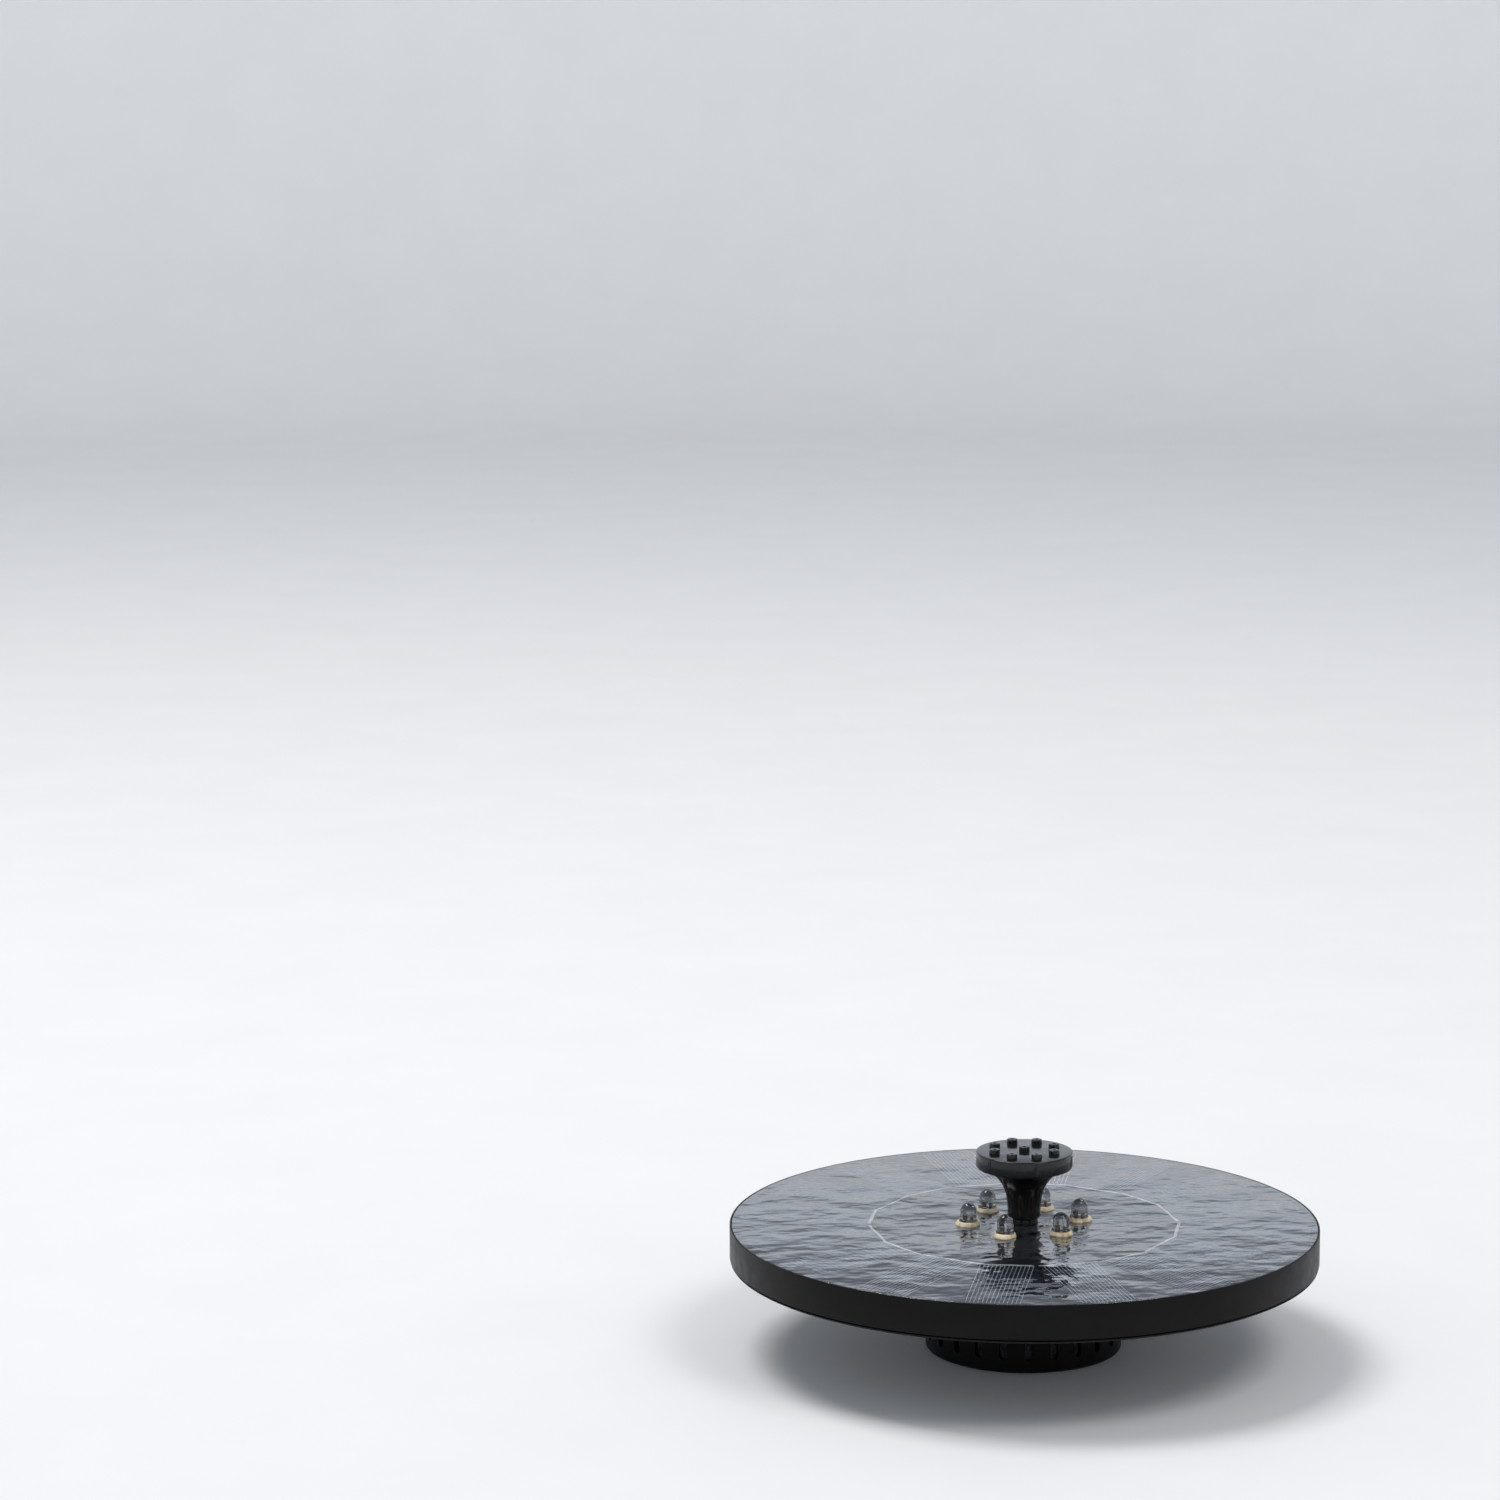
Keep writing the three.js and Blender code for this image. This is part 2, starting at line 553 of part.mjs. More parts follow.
add("pump_body", pumpBody(), BLACK_ABS);
add("volute_cover", voluteCover(), BLACK_ABS);
add("impeller", impeller(), WHITE_NYLON);
add("rotor_magnet", onRotorAxis(tube(SHAFT_R + CLEARANCE, MAGNET.r, MAGNET.rear, -CHAMBER_HALF,
  SMOOTH.small)), FERRITE);
add("pump_shaft", onRotorAxis(rod(SHAFT_R, WELL_END + CLEARANCE, SHAFT_FRONT, SMOOTH.tiny)), CERAMIC);
add("front_bushing", onRotorAxis(tube(SHAFT_R + CLEARANCE, BUSH_R.front, 3, SHAFT_FRONT, SMOOTH.tiny)),
  RUBBER);
add("rear_bushing", onRotorAxis(tube(SHAFT_R + CLEARANCE, BUSH_R.rear, WELL_END + CLEARANCE,
  MAGNET.rear - CLEARANCE, SMOOTH.tiny)), RUBBER);
add("stator_core", statorCore(), STEEL);
add("stator_coil", statorCoil(), COPPER);
add("potting_plug", onRotorAxis(tube(WELL_R + WELL_WALL + CLEARANCE, CAN_R - CLEARANCE,
  PUMP_REAR + CLEARANCE, POT_FRONT, SMOOTH.narrow)), RESIN);
PUMP_SCREWS.forEach((at, i) => {
  add(`pump_screw_${i + 1}`, pumpScrew().translate([at.x, at.y, 0]), STEEL);
});

// ---------------------------------------------------------------- strainer
function strainerBasket() {
  const inside = BASKET_R - BASKET_WALL;
  const cup = turned([
    [0, 0], [BASKET_R - BASKET_CHAMFER, 0], [BASKET_R, BASKET_CHAMFER], [BASKET_R, BASKET_H],
    [inside, BASKET_H], [inside, BASKET_WALL], [0, BASKET_WALL],
  ], SMOOTH.wide);
  const wallSlots = ring(WALL_SLOTS.count, Math.PI / WALL_SLOTS.count).map((angle) =>
    turnedTo(box(inside - 1, BASKET_R + 1, -SLOT_HALF, SLOT_HALF, WALL_SLOTS.z0, WALL_SLOTS.z1), angle));
  const floorSlots = ring(FLOOR_SLOTS.count).map((angle) =>
    turnedTo(box(FLOOR_SLOTS.from, FLOOR_SLOTS.to, -SLOT_HALF, SLOT_HALF, -1, BASKET_WALL + 1), angle));
  const lock = LUG.half + rad(1);
  const tracks = ring(LUG_COUNT, LUG_PHASE).flatMap((angle) => [
    arcBlock(inside - 1, BASKET_R + 1, angle - lock - LOCK_TURN, angle + lock,
      LUG.z0 - CLEARANCE, LUG.z1 + CLEARANCE),
    arcBlock(inside - 1, BASKET_R + 1, angle - lock - LOCK_TURN, angle + lock - LOCK_TURN,
      LUG.z0, BASKET_H + 1),
  ]);
  return cut(cup, ...wallSlots, ...floorSlots, ...tracks);
}

add("strainer_basket", strainerBasket(), BLACK_ABS);
add("filter_sponge", tube(SPONGE.rIn, BASKET_R - BASKET_WALL - 0.4, SPONGE.z0, SPONGE.z1, SMOOTH.mid),
  FOAM);

// ---------------------------------------------------------------- riser and spray head
function riserTube() {
  const shoulder = OUTLET_TOP + CLEARANCE;
  const neck = NOZZLE_Z - CLEARANCE;
  const tip = NOZZLE_Z + RISER_REACH;
  const inOutlet = OUTLET_BORE - CLEARANCE;
  return turned([
    [RISER_BORE, RISER_FOOT], [inOutlet, RISER_FOOT], [inOutlet, shoulder], [RISER_R, shoulder],
    [RISER_R, neck], [RISER_TIP_R, neck], [RISER_TIP_R, tip - 0.4], [RISER_TIP_R - 0.4, tip],
    [RISER_BORE, tip],
  ], SMOOTH.narrow);
}

// Heights are above the panel, and follow the trumpet from its foot up to the head.
function nozzleCone() {
  const bore = RISER_TIP_R + CLEARANCE;
  const rim = HEAD_R - HEAD_WALL - CLEARANCE;
  const top = HEAD_TOP - HEAD_PLATE - 0.4;
  const outside = [
    [5, NOZZLE_BASE], [5.2, 4.5], [5.35, 7], [5.6, 8.8], [6, 10.2], [6.6, 11.5], [7.8, 13.5],
    [9.2, 15.2], [10.9, 16.5], [12.8, 17.5], [rim, 18.1], [rim, top],
  ];
  const inside = [
    [12.3, top], [12.3, 19.3], [10.2, 18.1], [8, 16.2], [6.2, 13.8], [5, 12.2], [bore, 11.6],
    [bore, NOZZLE_BASE],
  ];
  return turned([...outside, ...inside].map(([r, h]) => [r, PANEL_TOP + h]), SMOOTH.cone);
}

function sprayCap() {
  const top = HEAD_TOP_Z;
  const spoutTop = top + SPOUT_H;
  const skirt = HEAD_R - HEAD_WALL;
  const cap = turned([
    [0, top - HEAD_PLATE], [skirt, top - HEAD_PLATE], [skirt, HEAD_Z], [HEAD_R - EDGE_BREAK, HEAD_Z],
    [HEAD_R, HEAD_Z + EDGE_BREAK], [HEAD_R, top - 0.5], [HEAD_R - 0.5, top], [0, top],
  ], SMOOTH.wide);
  const spouts = ring(SPOUT_COUNT, SPOUT_PHASE).map((angle) => polar(SPOUT_CIRCLE, angle));
  spouts.push([0, 0]);
  const nubs = spouts.map(([x, y]) => turned([
    [0, top - WELD], [SPOUT_R + 0.1, top - WELD], [SPOUT_R, spoutTop - 0.2], [SPOUT_R - 0.2, spoutTop],
    [0, spoutTop],
  ], SMOOTH.tiny).translate([x, y, 0]));
  const jets = spouts.map(([x, y]) =>
    rod(JET_R, top - HEAD_PLATE - 1, spoutTop + 1, SMOOTH.tiny).translate([x, y, 0]));
  const ribs = ring(RIB.count, SPOUT_PHASE + Math.PI / SPOUT_COUNT).map((angle) =>
    turnedTo(box(HEAD_R - 0.5, HEAD_R + RIB.proud, -RIB.half, RIB.half, HEAD_Z + 0.4, top - 0.6), angle));
  return cut(join(cap, ...nubs, ...ribs), ...jets);
}

add("riser_tube", riserTube(), BLACK_ABS);
add("nozzle_cone", nozzleCone(), HEAD_ABS);
add("spray_cap", sprayCap(), HEAD_ABS);

export default fountain;
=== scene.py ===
"""Looks of a floating solar fountain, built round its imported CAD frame."""
import math

import bmesh
import bpy
from mathutils import Matrix, Vector, noise


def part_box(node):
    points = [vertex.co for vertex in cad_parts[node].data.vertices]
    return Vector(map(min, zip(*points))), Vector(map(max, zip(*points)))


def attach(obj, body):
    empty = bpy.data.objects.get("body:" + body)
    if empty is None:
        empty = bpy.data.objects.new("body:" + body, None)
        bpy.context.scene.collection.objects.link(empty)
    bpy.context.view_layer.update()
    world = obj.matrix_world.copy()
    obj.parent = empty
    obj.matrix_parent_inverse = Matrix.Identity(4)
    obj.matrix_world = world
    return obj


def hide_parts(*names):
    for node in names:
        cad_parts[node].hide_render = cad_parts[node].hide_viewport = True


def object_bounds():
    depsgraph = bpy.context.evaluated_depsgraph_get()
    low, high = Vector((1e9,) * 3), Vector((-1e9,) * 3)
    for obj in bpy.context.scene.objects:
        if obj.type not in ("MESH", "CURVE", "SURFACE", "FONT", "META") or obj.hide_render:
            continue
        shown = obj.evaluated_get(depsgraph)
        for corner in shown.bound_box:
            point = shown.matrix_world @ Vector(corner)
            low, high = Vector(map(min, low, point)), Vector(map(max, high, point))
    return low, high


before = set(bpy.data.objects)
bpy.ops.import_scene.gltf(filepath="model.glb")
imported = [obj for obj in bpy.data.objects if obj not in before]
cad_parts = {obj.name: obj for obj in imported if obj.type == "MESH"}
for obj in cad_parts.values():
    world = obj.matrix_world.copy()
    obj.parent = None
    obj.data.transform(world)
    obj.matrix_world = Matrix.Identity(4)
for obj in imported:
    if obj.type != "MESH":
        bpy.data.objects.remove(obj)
cad_low, cad_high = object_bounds()

MM = 0.001  # shapes are in millimetres until piece() scales them
SIDES = 192  # of the disc
MID_SIDES = 96
SMALL_SIDES = 40
TINY_SIDES = 24
ARC_STEPS = 4  # points in a rounded corner


def cad_box(node):
    """A CAD node's lowest and highest corners, in millimetres to the nearest micron."""
    return [[round(v / MM, 3) for v in corner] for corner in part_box(node)]


# ---------------------------------------------------------------- sizes, in millimetres
tray_low, tray_high = cad_box("deck_tray")
hull_low, hull_high = cad_box("lower_hull")
lamp_low, lamp_high = cad_box("led_1")
head_low, head_high = cad_box("spray_cap")
basket_low, basket_high = cad_box("strainer_basket")

# the float
DISC_R = tray_high[0]
PANEL_TOP = tray_high[2]
LIP = 0.5  # of the rim round the panel
SKIRT_END = 28.5
SKIRT_R = 88  # inside the skirt
DECK_Z = 36
DECK_UNDER = 34.8
SLEEVE_R = 5.7  # the sleeve that the riser stands in
SLEEVE_OUT = 6.9
SLEEVE_END = tray_low[2]
HULL_BORE_R = 5.6
HULL_Z = 24
HULL_TOP = 25.6  # inside face of the hull's flat
HULL_R = hull_high[0]
FLAT_R = 52  # the hull is flat out to here, then it rises to the rim
RISE_R = 80
TONGUE_R = 87.6
TONGUE_IN = 86
TONGUE_TOP = hull_high[2]
MOUTH_R = 26
NECK_R = 27.6
NECK_END = hull_low[2]
LUGS = 3
LUG_PHASE = math.radians(30)
LUG_R = 29.3
BOSS_R = 3.6
PUMP_SCREWS = ((-11.5, 9.3), (6.8, 9.3))
SCREW_HOLE_R = 1.7
LEAD_AT = (-20.5, 2.3)
LEAD_HOLE_R = 1.5
HULL_RIBS = 16
BUTTON_Y = -40
BUTTON_R = 4.1
BUTTON_FLANGE_R = 5.6
BUTTON_WELL_R = 6.4

# the panel
PANEL_R = DISC_R - LIP - 0.1
BOARD_TOP = cad_box("cell_board")[1][2]
BOARD_HOLE_R = 6.1
CELL_Z = cad_box("solar_cell_01")[0][2]
CELL_T = 0.3
CELL_COUNT = 16
CELL_PHASE = math.radians(-5.5)
CELL_IN = 47.5
CELL_OUT = 87.6
CELL_SEAM = 0.8
FINGERS = 14
FINGER_PITCH = 1.22
FINGER_W = 0.17
FINGER_H = 0.03
RIBBON_W = 1.0
RIBBON_H = 0.16
RIBBON_STEPS = 28
RIBBONS = 4
RIBBON_LAP = 0.22  # each strip lies this far inside or outside the ring

# the lamps
LED_COUNT = 6
LED_CIRCLE = round((lamp_low[0] + lamp_high[0]) / 2, 3)
LED_R = 2.5
LED_FLANGE_R = 2.9
LED_FLANGE_T = 0.8
LED_TOP = lamp_high[2]
LED_FOOT = PANEL_TOP + 1.0
SEAL_R = 3.8
SEAL_TOP = cad_box("led_seal_1")[1][2]
SEAL_PLUG_R = 3.0
SEAL_BORE_R = 1.7
SEAL_CUP_R = 2.92

# the riser and the spray head
RISER_R = cad_box("riser_tube")[1][0]
RISER_BORE_R = 2.4
RISER_SPIGOT_R = 3.7
RISER_TIP_R = 3.4
RISER_FOOT = 26
RISER_SHOULDER = 37.3
NOZZLE_Z = cad_box("nozzle_cone")[0][2]
NOZZLE_R = 5.0
NOZZLE_BORE_R = 3.7
NOZZLE_SPIGOT_R = 13.4
NOZZLE_MOUTH_R = 12.3
TRUMPET_STEPS = 28
HEAD_Z = head_low[2]
HEAD_R = head_high[0]
SPOUTS = 8
SPOUT_CIRCLE = 9.8
SPOUT_R = 1.6
SPOUT_H = 1.4
SPOUT_PHASE = math.radians(11.6)
HEAD_TOP = round(head_high[2] - SPOUT_H, 3)
HEAD_RIBS = 6
JET_R = 0.6

# the basket
BASKET_R = basket_high[0]
BASKET_IN = 28.2
BASKET_H = basket_high[2]
BASKET_FLOOR = 1.8
BASKET_SLOTS = 24
FLOOR_SLOTS = 12
SLOT_HALF = 1.2
LOCK_TURN = math.radians(20)
SPONGE_R = 27.8
SPONGE_IN = 25.2
SPONGE_Z = 2.2
SPONGE_TOP = 19


# ---------------------------------------------------------------- shapes
def ring(count, phase=0.0):
    return [phase + math.tau * i / count for i in range(count)]


def polar(r, angle):
    return r * math.cos(angle), r * math.sin(angle)


def rounded(profile, close=True):
    """The points of a profile of (r, z) or (r, z, radius). A corner that has a radius gets an arc."""
    points = []
    for i, corner in enumerate(profile):
        here = Vector(corner[:2])
        inside = close or 0 < i < len(profile) - 1
        if len(corner) < 3 or not inside:
            points.append(here)
            continue
        back = Vector(profile[i - 1][:2]) - here
        ahead = Vector(profile[(i + 1) % len(profile)][:2]) - here
        half = back.angle(ahead) / 2
        reach = min(corner[2] / math.tan(half), 0.45 * back.length, 0.45 * ahead.length)
        radius = reach * math.tan(half)
        inwards = (back.normalized() + ahead.normalized()).normalized()
        centre = here + inwards * radius / math.sin(half)
        first = here + back.normalized() * reach - centre
        last = here + ahead.normalized() * reach - centre
        for k in range(ARC_STEPS + 1):
            points.append(centre + first.lerp(last, k / ARC_STEPS).normalized() * radius)
    return points


def turned(profile, sides=MID_SIDES, at=(0, 0)):
    """A closed solid of revolution about a vertical axis. A profile may start and end on the axis."""
    on_axis = profile[0][0] == 0
    points = rounded(profile, close=not on_axis)
    bm = bmesh.new()
    rings = []
    for r, z in points:
        if r < 1e-6:
            rings.append([bm.verts.new((at[0], at[1], z))])
        else:
            circle = (polar(r, a) for a in ring(sides))
            rings.append([bm.verts.new((at[0] + x, at[1] + y, z)) for x, y in circle])
    following = rings[1:] if on_axis else rings[1:] + rings[:1]
    for low, high in zip(rings, following):
        for i in range(sides):
            j = (i + 1) % sides
            corners = [low[i % len(low)], low[j % len(low)], high[j % len(high)], high[i % len(high)]]
            bm.faces.new(list(dict.fromkeys(corners)))
    bmesh.ops.recalc_face_normals(bm, faces=bm.faces)
    return bm


def rod(r, z0, z1, at=(0, 0), sides=SMALL_SIDES):
    """A plain upright cylinder."""
    return turned([(0, z0), (r, z0), (r, z1), (0, z1)], sides, at)


def prism(outline, z0, z1):
    bm = bmesh.new()
    low = [bm.verts.new((x, y, z0)) for x, y in outline]
    high = [bm.verts.new((x, y, z1)) for x, y in outline]
    bm.faces.new(low[::-1])
    bm.faces.new(high)
    for i in range(len(outline)):
        j = (i + 1) % len(outline)
        bm.faces.new((low[i], low[j], high[j], high[i]))
    bmesh.ops.recalc_face_normals(bm, faces=bm.faces)
    return bm


def arc(r, start, end, steps):
    return [polar(r, start + (end - start) * k / steps) for k in range(steps + 1)]


def block(x0, x1, y0, y1, z0, z1):
    return prism([(x0, y0), (x1, y0), (x1, y1), (x0, y1)], z0, z1)


def placed(bm, angle=0.0, shift=(0, 0, 0)):
    move = Matrix.Translation(shift) @ Matrix.Rotation(angle, 4, "Z")
    bmesh.ops.transform(bm, matrix=move, verts=bm.verts)
    return bm


def merged(parts):
    """One bmesh that holds all these, side by side."""
    whole = bmesh.new()
    for part in parts:
        mesh = bpy.data.meshes.new("part")
        part.to_mesh(mesh)
        part.free()
        whole.from_mesh(mesh)
        bpy.data.meshes.remove(mesh)
    return whole


def boolean(bm, tools, operation):
    """bm after an exact cut or union with the tools, which don't touch each other."""
    made = []
    for part in (bm, merged(tools)):
        mesh = bpy.data.meshes.new("part")
        part.to_mesh(mesh)
        part.free()
        obj = bpy.data.objects.new("part", mesh)
        bpy.context.collection.objects.link(obj)
        made.append(obj)
    modifier = made[0].modifiers.new("cut", "BOOLEAN")
    modifier.operation = operation
    modifier.solver = "EXACT"
    modifier.object = made[1]
    evaluated = made[0].evaluated_get(bpy.context.evaluated_depsgraph_get())
    result = bpy.data.meshes.new_from_object(evaluated)
    out = bmesh.new()
    out.from_mesh(result)
    bpy.data.meshes.remove(result)
    for obj in made:
        bpy.data.meshes.remove(obj.data)
    return out


def cut(bm, *tools):
    return boolean(bm, tools, "DIFFERENCE")


def united(bm, *tools):
    return boolean(bm, tools, "UNION")


def piece(name, bm, look, body="float", stands_for=(), bevel=0.0, sharp=40):
    """A finished object from a bmesh in millimetres, riding on its CAD body."""
    bmesh.ops.scale(bm, vec=(MM, MM, MM), verts=bm.verts)
    mesh = bpy.data.meshes.new(name)
    bm.to_mesh(mesh)
    bm.free()
    obj = bpy.data.objects.new(name, mesh)
    bpy.context.collection.objects.link(obj)
    for material in look if isinstance(look, (list, tuple)) else [look]:
        mesh.materials.append(material)
    mesh.shade_smooth()
    if bevel:
        modifier = obj.modifiers.new("edges", "BEVEL")
        modifier.width = bevel * MM
        modifier.segments = 2
        modifier.limit_method = "ANGLE"
        modifier.angle_limit = math.radians(sharp)
        modifier.harden_normals = True
    mesh.set_sharp_from_angle(angle=math.radians(sharp))
    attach(obj, body)
    if stands_for:
        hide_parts(*stands_for)
    return obj


# ---------------------------------------------------------------- materials
class Look:
    """A Principled material, built up with procedural nodes in the object's own space."""

    def __init__(self, name, **sockets):
        self.material = bpy.data.materials.new(name)
        self.material.use_nodes = True
        self.tree = self.material.node_tree
        self.shader = self.tree.nodes["Principled BSDF"]
        self.space = self.node("ShaderNodeTexCoord").outputs["Object"]
        for socket, value in sockets.items():
            self.shader.inputs[socket.replace("_", " ")].default_value = value

    def node(self, kind, settings=(), **inputs):
        made = self.tree.nodes.new(kind)
        for key, value in dict(settings).items():
            setattr(made, key, value)
        for key, value in inputs.items():
            self.feed(made.inputs[key.replace("_", " ")], value)
        return made

    def feed(self, socket, value):
        if isinstance(value, bpy.types.NodeSocket):
            self.tree.links.new(value, socket)
        else:
            socket.default_value = value

    def stretched(self, x, y, z):
        return self.node("ShaderNodeMapping", Vector=self.space, Scale=(x, y, z)).outputs["Vector"]

    def noise(self, size_mm, detail=3.0, rough=0.5, space=None):
        """Noise whose blotches are about size_mm across."""
        made = self.node("ShaderNodeTexNoise", Vector=space or self.space, Scale=1 / (size_mm * MM),
                         Detail=detail, Roughness=rough)
        return made.outputs["Fac"]

    def cells(self, size_mm, feature="F1"):
        made = self.node("ShaderNodeTexVoronoi", {"feature": feature}, Vector=self.space,
                         Scale=1 / (size_mm * MM))
        return made.outputs["Distance"]

    def spread(self, source, low, high, start=0.3, end=0.7):
        """source from start to end, mapped to low to high."""
        made = self.node("ShaderNodeMapRange", Value=source)
        ends = {"From Min": start, "From Max": end, "To Min": low, "To Max": high}
        for key, value in ends.items():
            made.inputs[key].default_value = value
        return made.outputs["Result"]

    def colour(self, source, *stops):
        """A colour ramp over source, with (place, rgb) stops."""
        made = self.node("ShaderNodeValToRGB", Fac=source)
        elements = made.color_ramp.elements
        while len(elements) < len(stops):
            elements.new(0.5)
        for element, (place, rgb) in zip(elements, stops):
            element.position = place
            element.color = (*rgb, 1)
        return made.outputs["Color"]

    def raised(self, height, depth_mm, strength=1.0):
        """Bump from a height of 0 to 1 that is depth_mm deep. Further calls stack up."""
        made = self.node("ShaderNodeBump", Height=height, Distance=depth_mm * MM, Strength=strength)
        earlier = self.shader.inputs["Normal"]
        if earlier.is_linked:
            self.tree.links.new(earlier.links[0].from_socket, made.inputs["Normal"])
        self.tree.links.new(made.outputs["Normal"], earlier)

    def set(self, **sockets):
        for socket, value in sockets.items():
            self.feed(self.shader.inputs[socket.replace("_", " ")], value)
        return self


def moulded_plastic(name, dark, light, rough, gloss, grain_mm, grain_depth):
    """Moulded ABS: a fine spark-eroded grain, faint flow marks and a few rubbed spots."""
    look = Look(name, Specular_IOR_Level=gloss)
    flow = look.noise(24, 4, 0.6, look.stretched(1, 1, 2.5))
    rub = look.noise(5, 5, 0.7)
    look.set(Base_Color=look.colour(flow, (0.3, dark), (0.72, light)),
             Roughness=look.spread(rub, rough - 0.06, rough + 0.08))
    look.raised(look.noise(grain_mm, 2), grain_depth, 0.7)
    look.raised(flow, 0.05, 0.4)
    return look.material


def clear_laminate():
    """Glossy clear resin over the cells, with slow waves and small ripples from its cure."""
    look = Look("clear_laminate", Base_Color=(0.84, 0.89, 0.96, 1), IOR=1.5,
                Transmission_Weight=1.0, Coat_Weight=0.6, Coat_Roughness=0.05)
    look.raised(look.noise(12, 2, 0.5, look.stretched(1, 1.3, 1)), 1.0, 1.0)
    look.raised(look.noise(5, 2, 0.4), 0.2, 1.0)
    look.set(Roughness=look.spread(look.noise(30, 4, 0.6), 0.03, 0.08))
    bumps = look.shader.inputs["Normal"].links[0].from_socket
    look.set(Coat_Normal=bumps)
    return look.material


def silicon():
    """Dark blue-black silicon with a slightly uneven anti-reflection layer."""
    look = Look("silicon", Specular_IOR_Level=0.5)
    tone = look.noise(13, 5, 0.65)
    dark, middle, light = (0.0065, 0.0095, 0.019), (0.0095, 0.0135, 0.027), (0.013, 0.019, 0.038)
    look.set(Base_Color=look.colour(tone, (0.25, dark), (0.55, middle), (0.8, light)),
             Roughness=look.spread(look.noise(2.2, 4), 0.3, 0.45))
    look.raised(look.noise(0.5, 2), 0.006, 0.6)
    return look.material


def tinned(name, tone, metallic):
    """Solder-tinned copper: dull silver with wavy thickness."""
    look = Look(name, Metallic=metallic)
    blotch = look.noise(2.4, 4, 0.6)
    bright = tuple(min(1.0, c * 1.12) for c in tone)
    look.set(Base_Color=look.colour(blotch, (0.3, tone), (0.7, bright)),
             Roughness=look.spread(look.noise(0.9, 3), 0.28, 0.5))
    look.raised(blotch, 0.05, 0.6)
    return look.material


def solder_mask(name, dark, light):
    """Circuit board lacquer over a glass weave."""
    look = Look(name)
    weave = look.node("ShaderNodeTexWave", {"bands_direction": "X"}, Vector=look.space, Scale=700.0,
                      Distortion=0.6)
    look.set(Base_Color=look.colour(look.noise(9, 4), (0.3, dark), (0.7, light)),
             Roughness=look.spread(look.noise(3, 3), 0.28, 0.42))
    look.raised(weave.outputs["Fac"], 0.01, 0.5)
    return look.material


def lamp_epoxy():
    """Water-clear epoxy with faint casting lines."""
    look = Look("lamp_epoxy", Base_Color=(0.83, 0.85, 0.875, 1), IOR=1.52, Transmission_Weight=1.0)
    look.set(Roughness=look.spread(look.noise(2.2, 3), 0.0, 0.035))
    look.raised(look.noise(1.6, 2), 0.012, 0.6)
    return look.material


def cream_seal():
    """Hot-melt seal: waxy cream, browner where it is thin."""
    look = Look("cream_seal", Subsurface_Weight=0.25, Subsurface_Scale=0.0012)
    tone = look.noise(1.9, 4, 0.6)
    look.shader.inputs["Subsurface Radius"].default_value = (1.0, 0.6, 0.35)
    thin, middle, thick = (0.62, 0.40, 0.20), (0.90, 0.73, 0.48), (0.96, 0.88, 0.70)
    look.set(Base_Color=look.colour(tone, (0.28, thin), (0.48, middle), (0.75, thick)),
             Roughness=look.spread(look.noise(1.1, 3), 0.3, 0.5))
    look.raised(look.noise(0.9, 4), 0.12, 0.8)
    return look.material


def rubber():
    look = Look("rubber")
    dark, light = (0.010, 0.010, 0.011), (0.022, 0.022, 0.023)
    look.set(Base_Color=look.colour(look.noise(6, 4), (0.3, dark), (0.7, light)),
             Roughness=look.spread(look.noise(1.6, 4), 0.62, 0.85))
    look.raised(look.noise(0.35, 3), 0.02, 0.8)
    return look.material


def foam(name, dark, light, pore_mm):
    """Open-cell foam: pores cut into a dull surface, with painted shade darkening each pore."""
    look = Look(name, Sheen_Weight=0.15)
    pores = look.cells(pore_mm)
    # the pores are painted darker: painted shade inside them
    look.set(Base_Color=look.colour(pores, (0.1, dark), (0.6, light)),
             Roughness=look.spread(look.noise(2, 3), 0.85, 1.0))
    look.raised(pores, 0.5, 1.0)
    return look.material


def brushed_steel():
    look = Look("steel", Metallic=1.0)
    grain = look.noise(1.2, 4, 0.6, look.stretched(1, 1, 12))
    look.set(Base_Color=look.colour(grain, (0.3, (0.42, 0.43, 0.45)), (0.7, (0.62, 0.63, 0.64))),
             Roughness=look.spread(grain, 0.22, 0.4))
    look.raised(grain, 0.01, 0.5)
    return look.material


def copper_winding():
    """Enamelled wire laid side by side along the coil, with painted shade in the grooves between the wires.
    """
    look = Look("copper_winding", Metallic=0.9)
    settings = {"bands_direction": "X"}
    wires = look.node("ShaderNodeTexWave", settings, Vector=look.space, Scale=1300.0)
    # the dark colour between the wires is painted shade in the grooves
    gap_shade, wire = (0.16, 0.045, 0.015), (0.62, 0.24, 0.09)
    look.set(Base_Color=look.colour(wires.outputs["Fac"], (0.1, gap_shade), (0.7, wire)),
             Roughness=look.spread(look.noise(1, 3), 0.25, 0.45))
    look.raised(wires.outputs["Fac"], 0.12, 1.0)
    return look.material


def matte(name, dark, light, rough, spot_mm=3.0, depth=0.02):
    """A plain hard material with speckle, such as ferrite, ceramic, nylon or resin."""
    look = Look(name)
    speckle = look.noise(spot_mm, 5, 0.65)
    look.set(Base_Color=look.colour(speckle, (0.3, dark), (0.7, light)),
             Roughness=look.spread(look.noise(spot_mm / 2, 3), rough - 0.06, rough + 0.08))
    look.raised(look.noise(spot_mm / 4, 3), depth, 0.6)
    return look.material


def pouch_foil():
    look = Look("pouch_foil", Metallic=0.7)
    crease = look.noise(8, 5, 0.7)
    look.set(Base_Color=look.colour(crease, (0.3, (0.45, 0.46, 0.48)), (0.7, (0.62, 0.63, 0.65))),
             Roughness=look.spread(crease, 0.25, 0.45))
    look.raised(crease, 0.3, 0.8)
    return look.material


